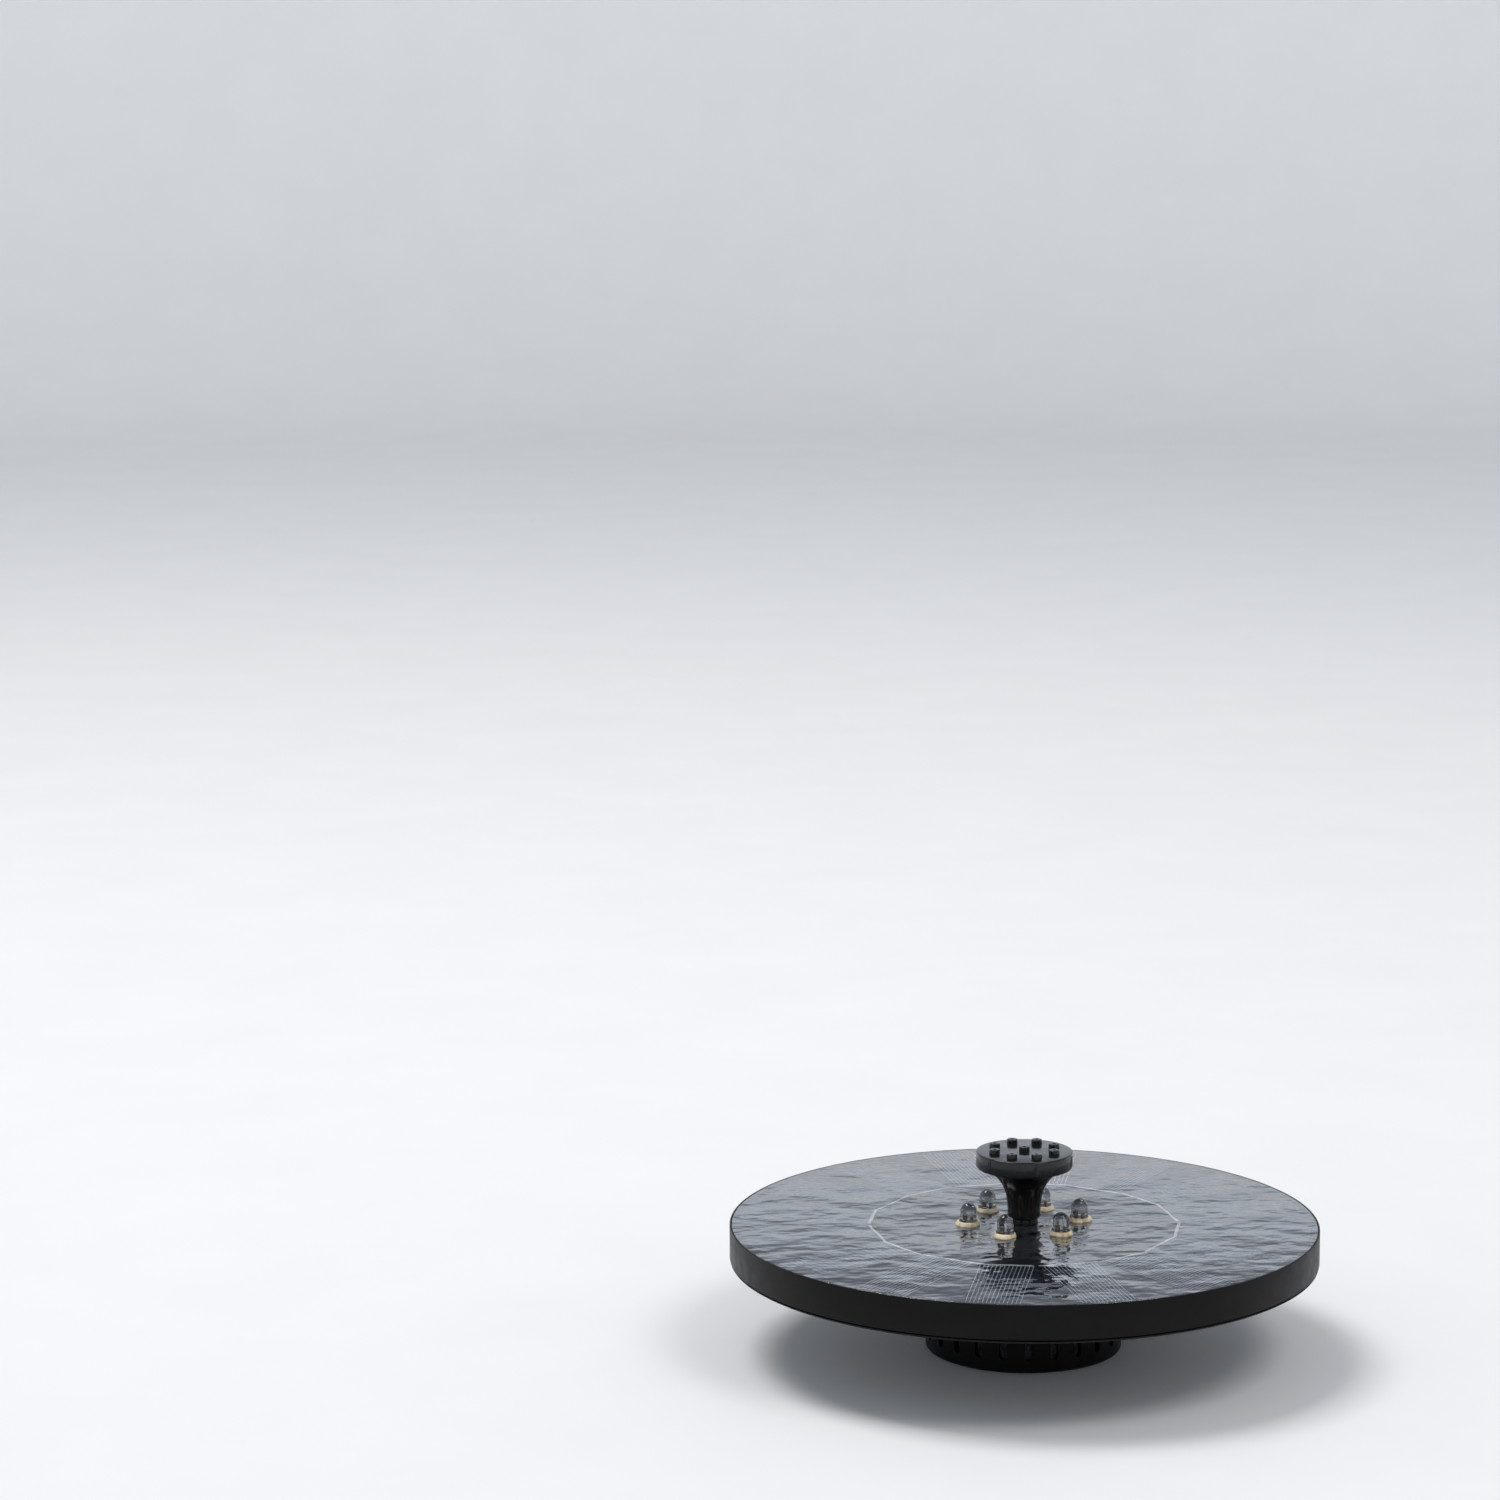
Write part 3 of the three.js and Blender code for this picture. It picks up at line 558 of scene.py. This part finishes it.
BLACK = moulded_plastic("black_abs", (0.0026, 0.0027, 0.0028), (0.0046, 0.0047, 0.0048),
                        rough=0.4, gloss=0.13, grain_mm=0.42, grain_depth=0.03)
HEAD_BLACK = moulded_plastic("nozzle_abs", (0.0040, 0.0040, 0.0042), (0.0062, 0.0062, 0.0064),
                             rough=0.14, gloss=0.45, grain_mm=0.9, grain_depth=0.006)
LAMINATE = clear_laminate()
SILICON = silicon()
RIBBON = tinned("ribbon", (0.90, 0.87, 0.79), 0.25)
FINGER = tinned("finger", (0.76, 0.79, 0.84), 0.3)
BOARD = solder_mask("black_board", (0.0045, 0.0055, 0.009), (0.0075, 0.009, 0.014))
EPOXY = lamp_epoxy()
CREAM = cream_seal()
RUBBER = rubber()
SPONGE = foam("sponge", (0.006, 0.006, 0.007), (0.035, 0.035, 0.038), 1.3)
FOAM = foam("buoyancy_foam", (0.02, 0.02, 0.02), (0.05, 0.05, 0.05), 0.9)
STEEL = brushed_steel()
LEAD_FRAME = matte("lead_frame", (0.10, 0.095, 0.085), (0.22, 0.21, 0.19), 0.35, 0.8)
COPPER = copper_winding()
FERRITE = matte("ferrite", (0.018, 0.018, 0.02), (0.04, 0.04, 0.043), 0.45)
CERAMIC = matte("ceramic", (0.74, 0.72, 0.64), (0.84, 0.82, 0.76), 0.18)
NYLON = matte("white_nylon", (0.70, 0.69, 0.64), (0.80, 0.79, 0.75), 0.45)
# this dark colour is also painted shade, as the disc at each lamp's foot
RESIN_AND_LAMP_SHADE = matte("potting_resin", (0.008, 0.007, 0.006), (0.016, 0.014, 0.012), 0.2)
GREEN_BOARD = solder_mask("green_board", (0.010, 0.075, 0.028), (0.018, 0.11, 0.045))
FOIL = pouch_foil()
PHOSPHOR = matte("phosphor", (0.62, 0.44, 0.06), (0.80, 0.60, 0.12), 0.6, 0.5)


# ---------------------------------------------------------------- float
def deck_tray():
    """The upper shell: a sleeve for the riser, the deck under the panel, the skirt and its lip."""
    lip = DISC_R - LIP
    body = turned([
        (SLEEVE_R, SLEEVE_END), (SLEEVE_OUT, SLEEVE_END, 0.2), (SLEEVE_OUT, DECK_UNDER, 0.4),
        (SKIRT_R, DECK_UNDER, 0.6), (SKIRT_R, SKIRT_END, 0.2), (DISC_R, SKIRT_END, 0.35),
        (DISC_R, PANEL_TOP, 0.32), (lip, PANEL_TOP, 0.2), (lip, DECK_Z), (SLEEVE_R, DECK_Z, 0.2),
    ], SIDES)
    piece("tray", body, BLACK, stands_for=["deck_tray"])


def hull_profile():
    """Half a section: neck, bead, flat, the rise to the rim, and the tongue inside the skirt."""
    bead, bead_in, bead_out = HULL_Z - 0.4, 34, 35.8
    joint = 28.2  # where the hull meets the skirt
    return [
        (HULL_BORE_R, HULL_Z), (MOUTH_R, HULL_Z, 0.4), (MOUTH_R, NECK_END, 0.3),
        (NECK_R, NECK_END, 0.45), (NECK_R, HULL_Z, 0.5), (bead_in, HULL_Z, 0.3),
        (bead_in + 0.3, bead, 0.2), (bead_out - 0.3, bead, 0.2), (bead_out, HULL_Z, 0.3),
        (FLAT_R, HULL_Z, 3), (RISE_R, 26.3, 4), (TONGUE_IN, 26.8, 2), (HULL_R - 1, 27.3, 0.8),
        (HULL_R, joint - 0.3, 0.3), (HULL_R, joint, 0.1), (TONGUE_R, joint), (TONGUE_R, TONGUE_TOP, 0.3),
        (TONGUE_IN, TONGUE_TOP, 0.3), (TONGUE_IN, joint + 0.3), (RISE_R, joint - 0.3, 2),
        (FLAT_R, HULL_TOP, 2), (HULL_BORE_R, HULL_TOP),
    ]


def lower_hull():
    """The lower shell, with its bayonet lugs, screw bosses, ribs and holes."""
    root, low, high, lug = 27.2, 21, 22.4, math.radians(4)
    lugs = [prism(arc(LUG_R, a - lug, a + lug, 4) + arc(root, a + lug, a - lug, 4), low, high)
            for a in ring(LUGS, LUG_PHASE)]
    foot, top = 25.2, 30.7
    bosses = [turned([(0, foot), (BOSS_R, foot), (BOSS_R, top, 0.4), (0, top)], SMALL_SIDES, at)
              for at in PUMP_SCREWS]
    rib_in, rib_out, rib_half = 37.5, 50, 0.45
    ribs = [placed(block(rib_in, rib_out, -rib_half, rib_half, HULL_Z - 0.35, HULL_Z + 0.5), a)
            for a in ring(HULL_RIBS, math.pi / HULL_RIBS)]
    below, screw_end, floor_end = 20, 29.4, 27
    well = rod(BUTTON_WELL_R, below, 24.35, (0, BUTTON_Y), MID_SIDES)
    holes = [rod(SCREW_HOLE_R, below, screw_end, at) for at in PUMP_SCREWS]
    holes.append(rod(BUTTON_R + 0.3, below, floor_end, (0, BUTTON_Y)))
    holes.append(rod(LEAD_HOLE_R, below, floor_end, LEAD_AT))
    body = united(turned(hull_profile(), SIDES), *lugs, *bosses, *ribs)
    body = cut(body, well)
    piece("hull", cut(body, *holes), BLACK, stands_for=["lower_hull"], bevel=0.12)


# ---------------------------------------------------------------- solar panel
def laminate():
    """Clear resin, poured over the cells: its underside is sunk in the board."""
    hole, under, ledge = RISER_R + 0.3, BOARD_TOP - 0.05, PANEL_TOP - 0.7
    slab = turned([
        (BOARD_HOLE_R, under), (PANEL_R, under), (PANEL_R, PANEL_TOP, 0.2), (hole, PANEL_TOP, 0.25),
        (hole, ledge), (BOARD_HOLE_R, ledge),
    ], SIDES)
    below, above = 30, 45
    holes = [rod(SEAL_PLUG_R + 0.05, below, above, polar(LED_CIRCLE, a)) for a in ring(LED_COUNT)]
    piece("laminate", cut(slab, *holes), LAMINATE, stands_for=["panel_cover"])


def solar_cells():
    """Wedges, straight inside and round outside. Silver fingers run outwards on each, side by side."""
    half = math.pi / CELL_COUNT
    side = CELL_SEAM / 2
    edge = half - math.asin(side / CELL_OUT)
    inner = CELL_IN * math.tan(half) - side / math.cos(half)
    outline = [(CELL_IN, inner), (CELL_IN, -inner)] + arc(CELL_OUT, -edge, edge, 24)
    top = CELL_Z + CELL_T
    for i, angle in enumerate(ring(CELL_COUNT, CELL_PHASE + half)):
        wafer = prism(outline, CELL_Z, top)
        faces = len(wafer.faces)
        lines = []
        for k in range(FINGERS):
            y = (k - (FINGERS - 1) / 2) * FINGER_PITCH
            reach = math.sqrt(CELL_OUT ** 2 - y ** 2) - 0.5
            low, high = y - FINGER_W / 2, y + FINGER_W / 2
            lines.append(block(CELL_IN - 0.15, reach, low, high, top - 0.01, top + FINGER_H))
        whole = placed(merged([wafer] + lines), angle)
        whole.faces.ensure_lookup_table()
        for face in whole.faces[faces:]:
            face.material_index = 1
        number = f"{i + 1:02d}"
        piece(f"cell_{number}", whole, [SILICON, FINGER], stands_for=[f"solar_cell_{number}"])


def ribbon_strip(length, seed):
    """A soldered ribbon along Y, a little uneven in width and height. Its ends are cut square."""
    bm = bmesh.new()
    rows = []
    for k in range(RIBBON_STEPS + 1):
        y = length * (k / RIBBON_STEPS - 0.5)
        wide = RIBBON_W / 2 * (1 + 0.16 * noise.noise(Vector((y * 0.7, seed, 0))))
        drift = 0.16 * noise.noise(Vector((y * 0.23, seed, 5)))
        high = RIBBON_H * (1 + 0.5 * noise.noise(Vector((y * 0.5, seed, 9))))
        shoulder = (wide * 0.7, high * 0.8)
        section = [(-wide, 0), (-shoulder[0], shoulder[1]), (0, high), shoulder, (wide, 0)]
        rows.append([bm.verts.new((drift + x, y, CELL_Z + 0.05 + z)) for x, z in section])
    for low, high in zip(rows, rows[1:]):
        for i in range(5):
            j = (i + 1) % 5
            bm.faces.new((low[i], high[i], high[j], low[j]))
    bm.faces.new(rows[0])
    bm.faces.new(rows[-1][::-1])
    bmesh.ops.recalc_face_normals(bm, faces=bm.faces)
    return bm


def bus_ribbons():
    """One strip for each cell. Each strip laps the next, a step further in or out."""
    half = math.pi / CELL_COUNT
    middle = CELL_IN - 0.9
    per_ribbon = CELL_COUNT // RIBBONS
    for i in range(RIBBONS):
        strips = []
        for k in range(per_ribbon):
            index = i * per_ribbon + k
            last = k == per_ribbon - 1  # the last strip stops short of the next ribbon
            length = 2 * middle * math.tan(half) - (1.6 if last else 0.1)
            step = RIBBON_LAP if index % 2 else -RIBBON_LAP
            strip = placed(ribbon_strip(length, index * 3.7), shift=(middle + step, -0.6 * last, 0))
            strips.append(placed(strip, CELL_PHASE + half * (2 * index + 1)))
        number = i + 1
        piece(f"ribbon_{number}", merged(strips), RIBBON,
              stands_for=[f"bus_ribbon_{number}"])


# ---------------------------------------------------------------- lamps
def lamp_lens(at):
    """The epoxy body, with the flat on its flange."""
    shoulder = LED_TOP - LED_R
    dome = [(r, shoulder + z) for r, z in arc(LED_R, 0, math.pi / 2, 14)]
    dome[-1] = (0, LED_TOP)
    flange = LED_FOOT + LED_FLANGE_T
    profile = [(0, LED_FOOT), (LED_FLANGE_R, LED_FOOT, 0.12), (LED_FLANGE_R, flange, 0.2),
               (LED_R, flange + 0.05, 0.15)] + dome
    body = turned(profile, 64)
    for vert in body.verts:
        if vert.co.z < LED_FOOT + 1:
            vert.co.x = min(vert.co.x, LED_R)
    return placed(body, shift=(*at, 0))


def lamp_leads(at):
    """The anvil with its cup and the thinner post, over a dark disc that is painted shade at the lamp's foot.
    Their legs go down through the seal.
    """
    floor = LED_FOOT + 0.15
    cup_x, post_x = -0.75, 0.65
    anvil = [(-1.1, floor), (-0.3, floor), (-0.2, floor + 1.5), (-1.3, floor + 1.5)]
    post = [(0.35, floor), (0.9, floor), (1.1, floor + 1.3), (0.3, floor + 1.6)]
    parts = []
    for outline in (anvil, post):
        part = prism(outline, -0.22, 0.22)
        bmesh.ops.transform(part, matrix=Matrix.Rotation(math.pi / 2, 4, "X"), verts=part.verts)
        parts.append(part)
    cup_foot, well, brim = floor + 1.4, floor + 1.6, floor + 1.95
    cup = turned([(0, cup_foot), (0.45, cup_foot), (0.7, brim), (0.6, brim), (0.35, well), (0, well)],
                 TINY_SIDES, (cup_x, 0))
    legs = [block(x - 0.25, x + 0.25, -0.25, 0.25, BOARD_TOP, floor + 0.1) for x in (cup_x, post_x)]
    die_foot = well + 0.02
    die = turned([(0, die_foot), (0.36, die_foot), (0.25, well + 0.25), (0, well + 0.3)],
                 TINY_SIDES, (cup_x, 0))
    # a dark disc of painted shade at the lamp's foot; the real lamp has no such part
    shade_disc = rod(2.4, LED_FOOT + 0.03, floor)
    whole = merged(parts + [cup] + legs)
    starts = [len(whole.faces)]
    for extra in (die, shade_disc):
        whole = merged([whole, extra])
        starts.append(len(whole.faces))
    whole.faces.ensure_lookup_table()
    for index, (start, end) in enumerate(zip(starts, starts[1:]), 1):
        for face in whole.faces[start:end]:
            face.material_index = index
    return placed(whole, shift=(*at, 0))


def lamp_seal(at, seed):
    """A hand-laid bead of sealant that slumps outwards unevenly, up to the lamp's flange."""
    foot, brim, cup = BOARD_TOP + 0.1, PANEL_TOP - 0.02, LED_FOOT - 0.03
    bead = turned([
        (SEAL_BORE_R, foot), (SEAL_PLUG_R, foot), (SEAL_PLUG_R, brim), (SEAL_R + 0.05, brim, 0.1),
        (SEAL_R - 0.05, PANEL_TOP + 0.4, 0.25), (SEAL_R - 0.45, SEAL_TOP, 0.4),
        (SEAL_CUP_R, SEAL_TOP + 0.05, 0.2), (SEAL_CUP_R, cup), (SEAL_BORE_R, cup),
    ], MID_SIDES)
    still = SEAL_CUP_R + 0.03  # inside this radius the bead keeps its shape
    for vert in bead.verts:
        flat = Vector((vert.co.x, vert.co.y, 0))
        if flat.length < still or vert.co.z < PANEL_TOP - 0.1:
            continue
        lobe = noise.noise(flat.normalized() * 1.1 + Vector((0, 0, seed)))
        fine = noise.noise(flat.normalized() * 3.5 + Vector((0, 0, seed + 0.6 * vert.co.z)))
        reach = flat.length - still
        slump = 1 + (0.22 * lobe + 0.10 * fine - 0.05) * min(1, reach / 0.6)
        vert.co.x *= slump
        vert.co.y *= slump
        vert.co.z += (0.3 * lobe + 0.25 * fine) * (vert.co.z - PANEL_TOP) * 0.5
    return placed(bead, shift=(*at, 0))


def lamps():
    for i, angle in enumerate(ring(LED_COUNT)):
        at = polar(LED_CIRCLE, angle)
        number = i + 1
        seal = lamp_seal(at, number * 7.3)
        piece(f"lamp_seal_{number}", seal, CREAM, stands_for=[f"led_seal_{number}"])
        piece(f"lamp_leads_{number}", lamp_leads(at), [LEAD_FRAME, PHOSPHOR, RESIN_AND_LAMP_SHADE])
        piece(f"lamp_lens_{number}", lamp_lens(at), EPOXY, stands_for=[f"led_{number}"])


# ---------------------------------------------------------------- riser and spray head
def riser():
    """A tube that plugs into the pump's outlet, stands on it with a shoulder and carries the trumpet."""
    seat, tip = NOZZLE_Z - 0.3, NOZZLE_Z + 9
    body = turned([
        (RISER_BORE_R, RISER_FOOT), (RISER_SPIGOT_R, RISER_FOOT, 0.3), (RISER_SPIGOT_R, RISER_SHOULDER, 0.1),
        (RISER_R, RISER_SHOULDER, 0.15), (RISER_R, seat, 0.15), (RISER_TIP_R, seat), (RISER_TIP_R, tip, 0.4),
        (RISER_BORE_R, tip, 0.2),
    ], MID_SIDES)
    piece("riser", body, HEAD_BLACK, body="riser", stands_for=["riser_tube"])


def cone():
    """The trumpet: a straight foot that flares on a smooth curve."""
    foot, rim = NOZZLE_Z, HEAD_Z + 0.4
    taper, flare, power = 0.45, 7.85, 3.6
    outside = [(NOZZLE_R, foot, 0.35)]
    for k in range(1, TRUMPET_STEPS + 1):
        t = k / TRUMPET_STEPS
        outside.append((NOZZLE_R + taper * t + flare * t ** power, foot + (rim - foot) * t))
    top = HEAD_TOP - 1.8
    spigot = [(NOZZLE_SPIGOT_R, rim + 0.3, 0.3), (NOZZLE_SPIGOT_R, top, 0.2)]
    inside = [(NOZZLE_MOUTH_R, top), (NOZZLE_MOUTH_R, 58.3), (10.2, 57.1, 1), (8, 55.2, 1), (6.2, 52.8, 1),
              (5, 51.2, 0.6), (NOZZLE_BORE_R, 50.6, 0.4), (NOZZLE_BORE_R, foot)]
    body = turned(outside + spigot + inside, MID_SIDES)
    piece("trumpet", body, HEAD_BLACK, body="nozzle", stands_for=["nozzle_cone"])


def cap():
    """The round head: a plate with a skirt, spouts with their jet holes, and small ribs round its side."""
    top = HEAD_TOP
    under, skirt, step = top - 1.4, HEAD_R - 1.1, HEAD_R - 0.35
    body = turned([
        (0, under), (skirt, under, 0.3), (skirt, HEAD_Z), (step, HEAD_Z, 0.12), (step, HEAD_Z + 0.45, 0.08),
        (HEAD_R, HEAD_Z + 0.55, 0.12), (HEAD_R, top, 0.35), (0, top),
    ], MID_SIDES)
    spouts = [polar(SPOUT_CIRCLE, a) for a in ring(SPOUTS, SPOUT_PHASE)] + [(0, 0)]
    sunk, tip = top - 0.5, top + SPOUT_H
    nub = [(0, sunk), (SPOUT_R + 0.1, sunk), (SPOUT_R, tip, 0.25), (0, tip)]
    nubs = [turned(nub, SMALL_SIDES, at) for at in spouts]
    rib_half = 0.28
    ribs = [placed(block(HEAD_R - 0.4, HEAD_R + 0.15, -rib_half, rib_half, HEAD_Z + 0.8, top - 0.55), a)
            for a in ring(HEAD_RIBS, SPOUT_PHASE + math.pi / 8)]
    below, above = 50, 70
    jets = [rod(JET_R, below, above, at, TINY_SIDES) for at in spouts]
    body = united(body, *nubs, *ribs)
    piece("spray_head", cut(body, *jets), HEAD_BLACK, body="spray_cap",
          stands_for=["spray_cap"], bevel=0.1)


# ---------------------------------------------------------------- underside
def half_circle(x, r, start):
    """About a point on the X axis."""
    return [(x + along, across) for along, across in arc(r, start, start + math.pi, 8)]


def slot_outline(start, end):
    """A slot along X with round ends."""
    quarter = math.pi / 2
    far_end = half_circle(end - SLOT_HALF, SLOT_HALF, -quarter)
    return far_end + half_circle(start + SLOT_HALF, SLOT_HALF, quarter)


def wall_cutter(start, end, steps, z0, z1):
    """A curved bar that goes right through the basket's wall."""
    inside, outside = 27, 31
    return prism(arc(outside, start, end, steps) + arc(inside, end, start, steps), z0, z1)


def basket():
    """The strainer: a slotted cup with a bayonet track at its brim for each lug."""
    body = turned([
        (0, 0), (BASKET_R, 0, 1.3), (BASKET_R, BASKET_H, 0.4), (BASKET_IN, BASKET_H, 0.4),
        (BASKET_IN, BASKET_FLOOR, 0.8), (0, BASKET_FLOOR),
    ], SIDES)
    # the outline's length turns upright and its depth points outwards
    upright = Matrix(((0, 0, 1, 0), (0, 1, 0, 0), (1, 0, 0, 0), (0, 0, 0, 1)))
    slot_foot, slot_end = 4, 17.5
    tools = []
    for a in ring(BASKET_SLOTS, math.pi / BASKET_SLOTS):
        tool = prism(slot_outline(slot_foot, slot_end), BASKET_IN - 2, BASKET_R + 2)
        bmesh.ops.transform(tool, matrix=upright, verts=tool.verts)
        bmesh.ops.recalc_face_normals(tool, faces=tool.faces)
        tools.append(placed(tool, a))
    slot_in, slot_out = 10, 24
    tools += [placed(prism(slot_outline(slot_in, slot_out), -1, 3), a) for a in ring(FLOOR_SLOTS)]
    body = cut(body, *tools)
    lock = math.radians(5)
    lugs = ring(LUGS, LUG_PHASE)
    tracks = [wall_cutter(a - lock - LOCK_TURN, a + lock, 12, 20.7, 22.7) for a in lugs]
    mouths = [wall_cutter(a - lock - LOCK_TURN, a + lock - LOCK_TURN, 6, 21.2, 25) for a in lugs]
    body = cut(cut(body, *tracks), *mouths)
    piece("basket", body, BLACK, body="strainer", stands_for=["strainer_basket"], bevel=0.15)


def sponge():
    """A foam sleeve inside the basket, a little lumpy."""
    corners = [(SPONGE_IN, SPONGE_Z), (SPONGE_R, SPONGE_Z), (SPONGE_R, SPONGE_TOP), (SPONGE_IN, SPONGE_TOP)]
    body = turned([(r, z, 0.8) for r, z in corners], MID_SIDES)
    upright = [e for e in body.edges if abs(e.verts[0].co.z - e.verts[1].co.z) > 8]
    bmesh.ops.subdivide_edges(body, edges=upright, cuts=14, use_grid_fill=True)
    for vert in body.verts:
        vert.co += vert.co.normalized() * 0.12 * noise.noise(vert.co * 0.9)
    piece("sponge", body, SPONGE, body="strainer", stands_for=["filter_sponge"])


def button():
    """The rubber button: a raised centre in a shallow ring, and a flange inside the hull."""
    side = BUTTON_R - 0.05
    face, groove, flange, back = 22.4, 22.65, 25.9, 26.9
    body = turned([
        (0, face), (1.5, face, 0.2), (1.7, groove, 0.1), (2.1, groove, 0.1), (2.3, face + 0.05, 0.2),
        (3.2, groove + 0.1, 0.5), (side, 23.7, 0.5), (side, flange), (BUTTON_FLANGE_R, flange, 0.2),
        (BUTTON_FLANGE_R, back, 0.2), (0, back),
    ], MID_SIDES, (0, BUTTON_Y))
    piece("button_cap", body, RUBBER, body="button", stands_for=["power_button"])


def inner_pieces():
    """The pieces inside the float and the pump keep their CAD shapes and get real finishes and soft edges."""
    finishes = {
        "pump_body": BLACK, "volute_cover": BLACK, "impeller": NYLON, "rotor_magnet": FERRITE,
        "pump_shaft": CERAMIC, "front_bushing": RUBBER, "rear_bushing": RUBBER, "stator_core": STEEL,
        "stator_coil": COPPER, "potting_plug": RESIN_AND_LAMP_SHADE, "pump_screw_1": STEEL, "pump_screw_2": STEEL,
        "pump_lead": RUBBER, "battery_pack": FOIL, "control_board": GREEN_BOARD, "button_switch": STEEL,
        "cell_board": BOARD, "hull_seal": RUBBER, "foam_ring": FOAM,
    }
    for name, material in finishes.items():
        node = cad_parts[name]
        for slot in node.material_slots:
            slot.material = material
        # the flat normals that came with the shape make way for smooth ones
        shading = node.data.attributes
        if "custom_normal" in shading:
            shading.remove(shading["custom_normal"])
        node.data.shade_smooth()
        node.modifiers.new("joined", "WELD").merge_threshold = 0.001 * MM
        modifier = node.modifiers.new("edges", "BEVEL")
        modifier.width = 0.15 * MM
        modifier.segments = 2
        modifier.limit_method = "ANGLE"
        modifier.angle_limit = math.radians(40)
        modifier.harden_normals = True


# ---------------------------------------------------------------- studio
def stage_piece(name, bm, material):
    mesh = bpy.data.meshes.new(name)
    bm.to_mesh(mesh)
    bm.free()
    obj = bpy.data.objects.new(name, mesh)
    bpy.context.collection.objects.link(obj)
    mesh.materials.append(material)
    mesh.shade_smooth()


def studio():
    """A pale floor that curves up into a round backdrop, with soft lights above."""
    paper = Look("paper", Roughness=0.75, Specular_IOR_Level=0.2)
    pale, paler = (0.90, 0.885, 0.87), (0.92, 0.905, 0.89)
    paper.set(Base_Color=paper.colour(paper.noise(60, 3), (0.3, pale), (0.7, paler)))
    floor = cad_low.z - 0.0002
    flat, curve, steps, wall_top = 2.6, 0.5, 12, 0.56
    bowl = bmesh.new()
    sides = 96
    profile = [(0, floor), (flat, floor)]
    for k in range(1, steps + 1):
        a = math.pi / 2 * k / steps
        profile.append((flat + curve * math.sin(a), floor + curve * (1 - math.cos(a))))
    profile.append((flat + curve, wall_top))
    rings = [[bowl.verts.new((r * math.cos(a), r * math.sin(a), z)) for a in ring(sides)] if r else
             [bowl.verts.new((0, 0, z))] for r, z in profile]
    for low, high in zip(rings, rings[1:]):
        for i in range(sides):
            j = (i + 1) % sides
            corners = [low[i % len(low)], low[j % len(low)], high[j], high[i]]
            bowl.faces.new(list(dict.fromkeys(corners)))
    stage_piece("studio_bowl", bowl, paper.material)
    sky()
    lit = Vector((0, 0, 0.04))
    for name, place, power in (("key", (-0.75, 0.67, 2.25), 30), ("fill", (1.0, -0.9, 2.1), 14)):
        data = bpy.data.lights.new(name, "AREA")
        data.size = 1.0
        data.energy = power
        light = bpy.data.objects.new(name, data)
        light.location = place
        light.rotation_euler = (lit - light.location).to_track_quat("-Z", "Y").to_euler()
        bpy.context.collection.objects.link(light)


def sky():
    """Soft light from all round: bright near the horizon and dimmer overhead."""
    world = bpy.data.worlds.new("studio")
    world.use_nodes = True
    nodes = world.node_tree.nodes
    links = world.node_tree.links
    split = nodes.new("ShaderNodeSeparateXYZ")
    links.new(nodes.new("ShaderNodeTexCoord").outputs["Generated"], split.inputs[0])
    ramp = nodes.new("ShaderNodeValToRGB")
    links.new(split.outputs["Z"], ramp.inputs["Fac"])
    elements = ramp.color_ramp.elements
    elements.new(0.5)
    for element, (place, tone) in zip(elements, ((0.27, 1.0), (0.42, 0.55), (1.0, 0.3))):
        element.position = place
        element.color = (tone * 0.82, tone * 0.89, tone, 1)
    links.new(ramp.outputs["Color"], nodes["Background"].inputs["Color"])
    nodes["Background"].inputs["Strength"].default_value = 1.0
    bpy.context.scene.world = world


def camera():
    """Looks past the disc, which stands low and right in the frame."""
    azimuth, elevation = math.radians(-10.9), math.radians(15.4)
    distance = 1.5
    aim_azimuth, aim_down, roll = math.radians(-7.6), math.radians(9.88), math.radians(-0.2)
    data = bpy.data.cameras.new("camera")
    data.lens = 117
    data.sensor_width = 36
    data.clip_start = 0.05
    obj = bpy.data.objects.new("camera", data)
    back = Vector((math.sin(azimuth) * math.cos(elevation), -math.cos(azimuth) * math.cos(elevation),
                   math.sin(elevation)))
    obj.location = Vector((0, 0, PANEL_TOP * MM)) + back * distance
    turn = Matrix.Rotation(aim_azimuth, 4, "Z") @ Matrix.Rotation(math.pi / 2 - aim_down, 4, "X")
    obj.rotation_euler = (turn @ Matrix.Rotation(roll, 4, "Z")).to_euler()
    bpy.context.collection.objects.link(obj)
    bpy.context.scene.camera = obj


camera()
studio()
deck_tray()
lower_hull()
laminate()
solar_cells()
bus_ribbons()
lamps()
riser()
cone()
cap()
basket()
sponge()
button()
inner_pieces()
bpy.context.scene.view_settings.view_transform = "Standard"
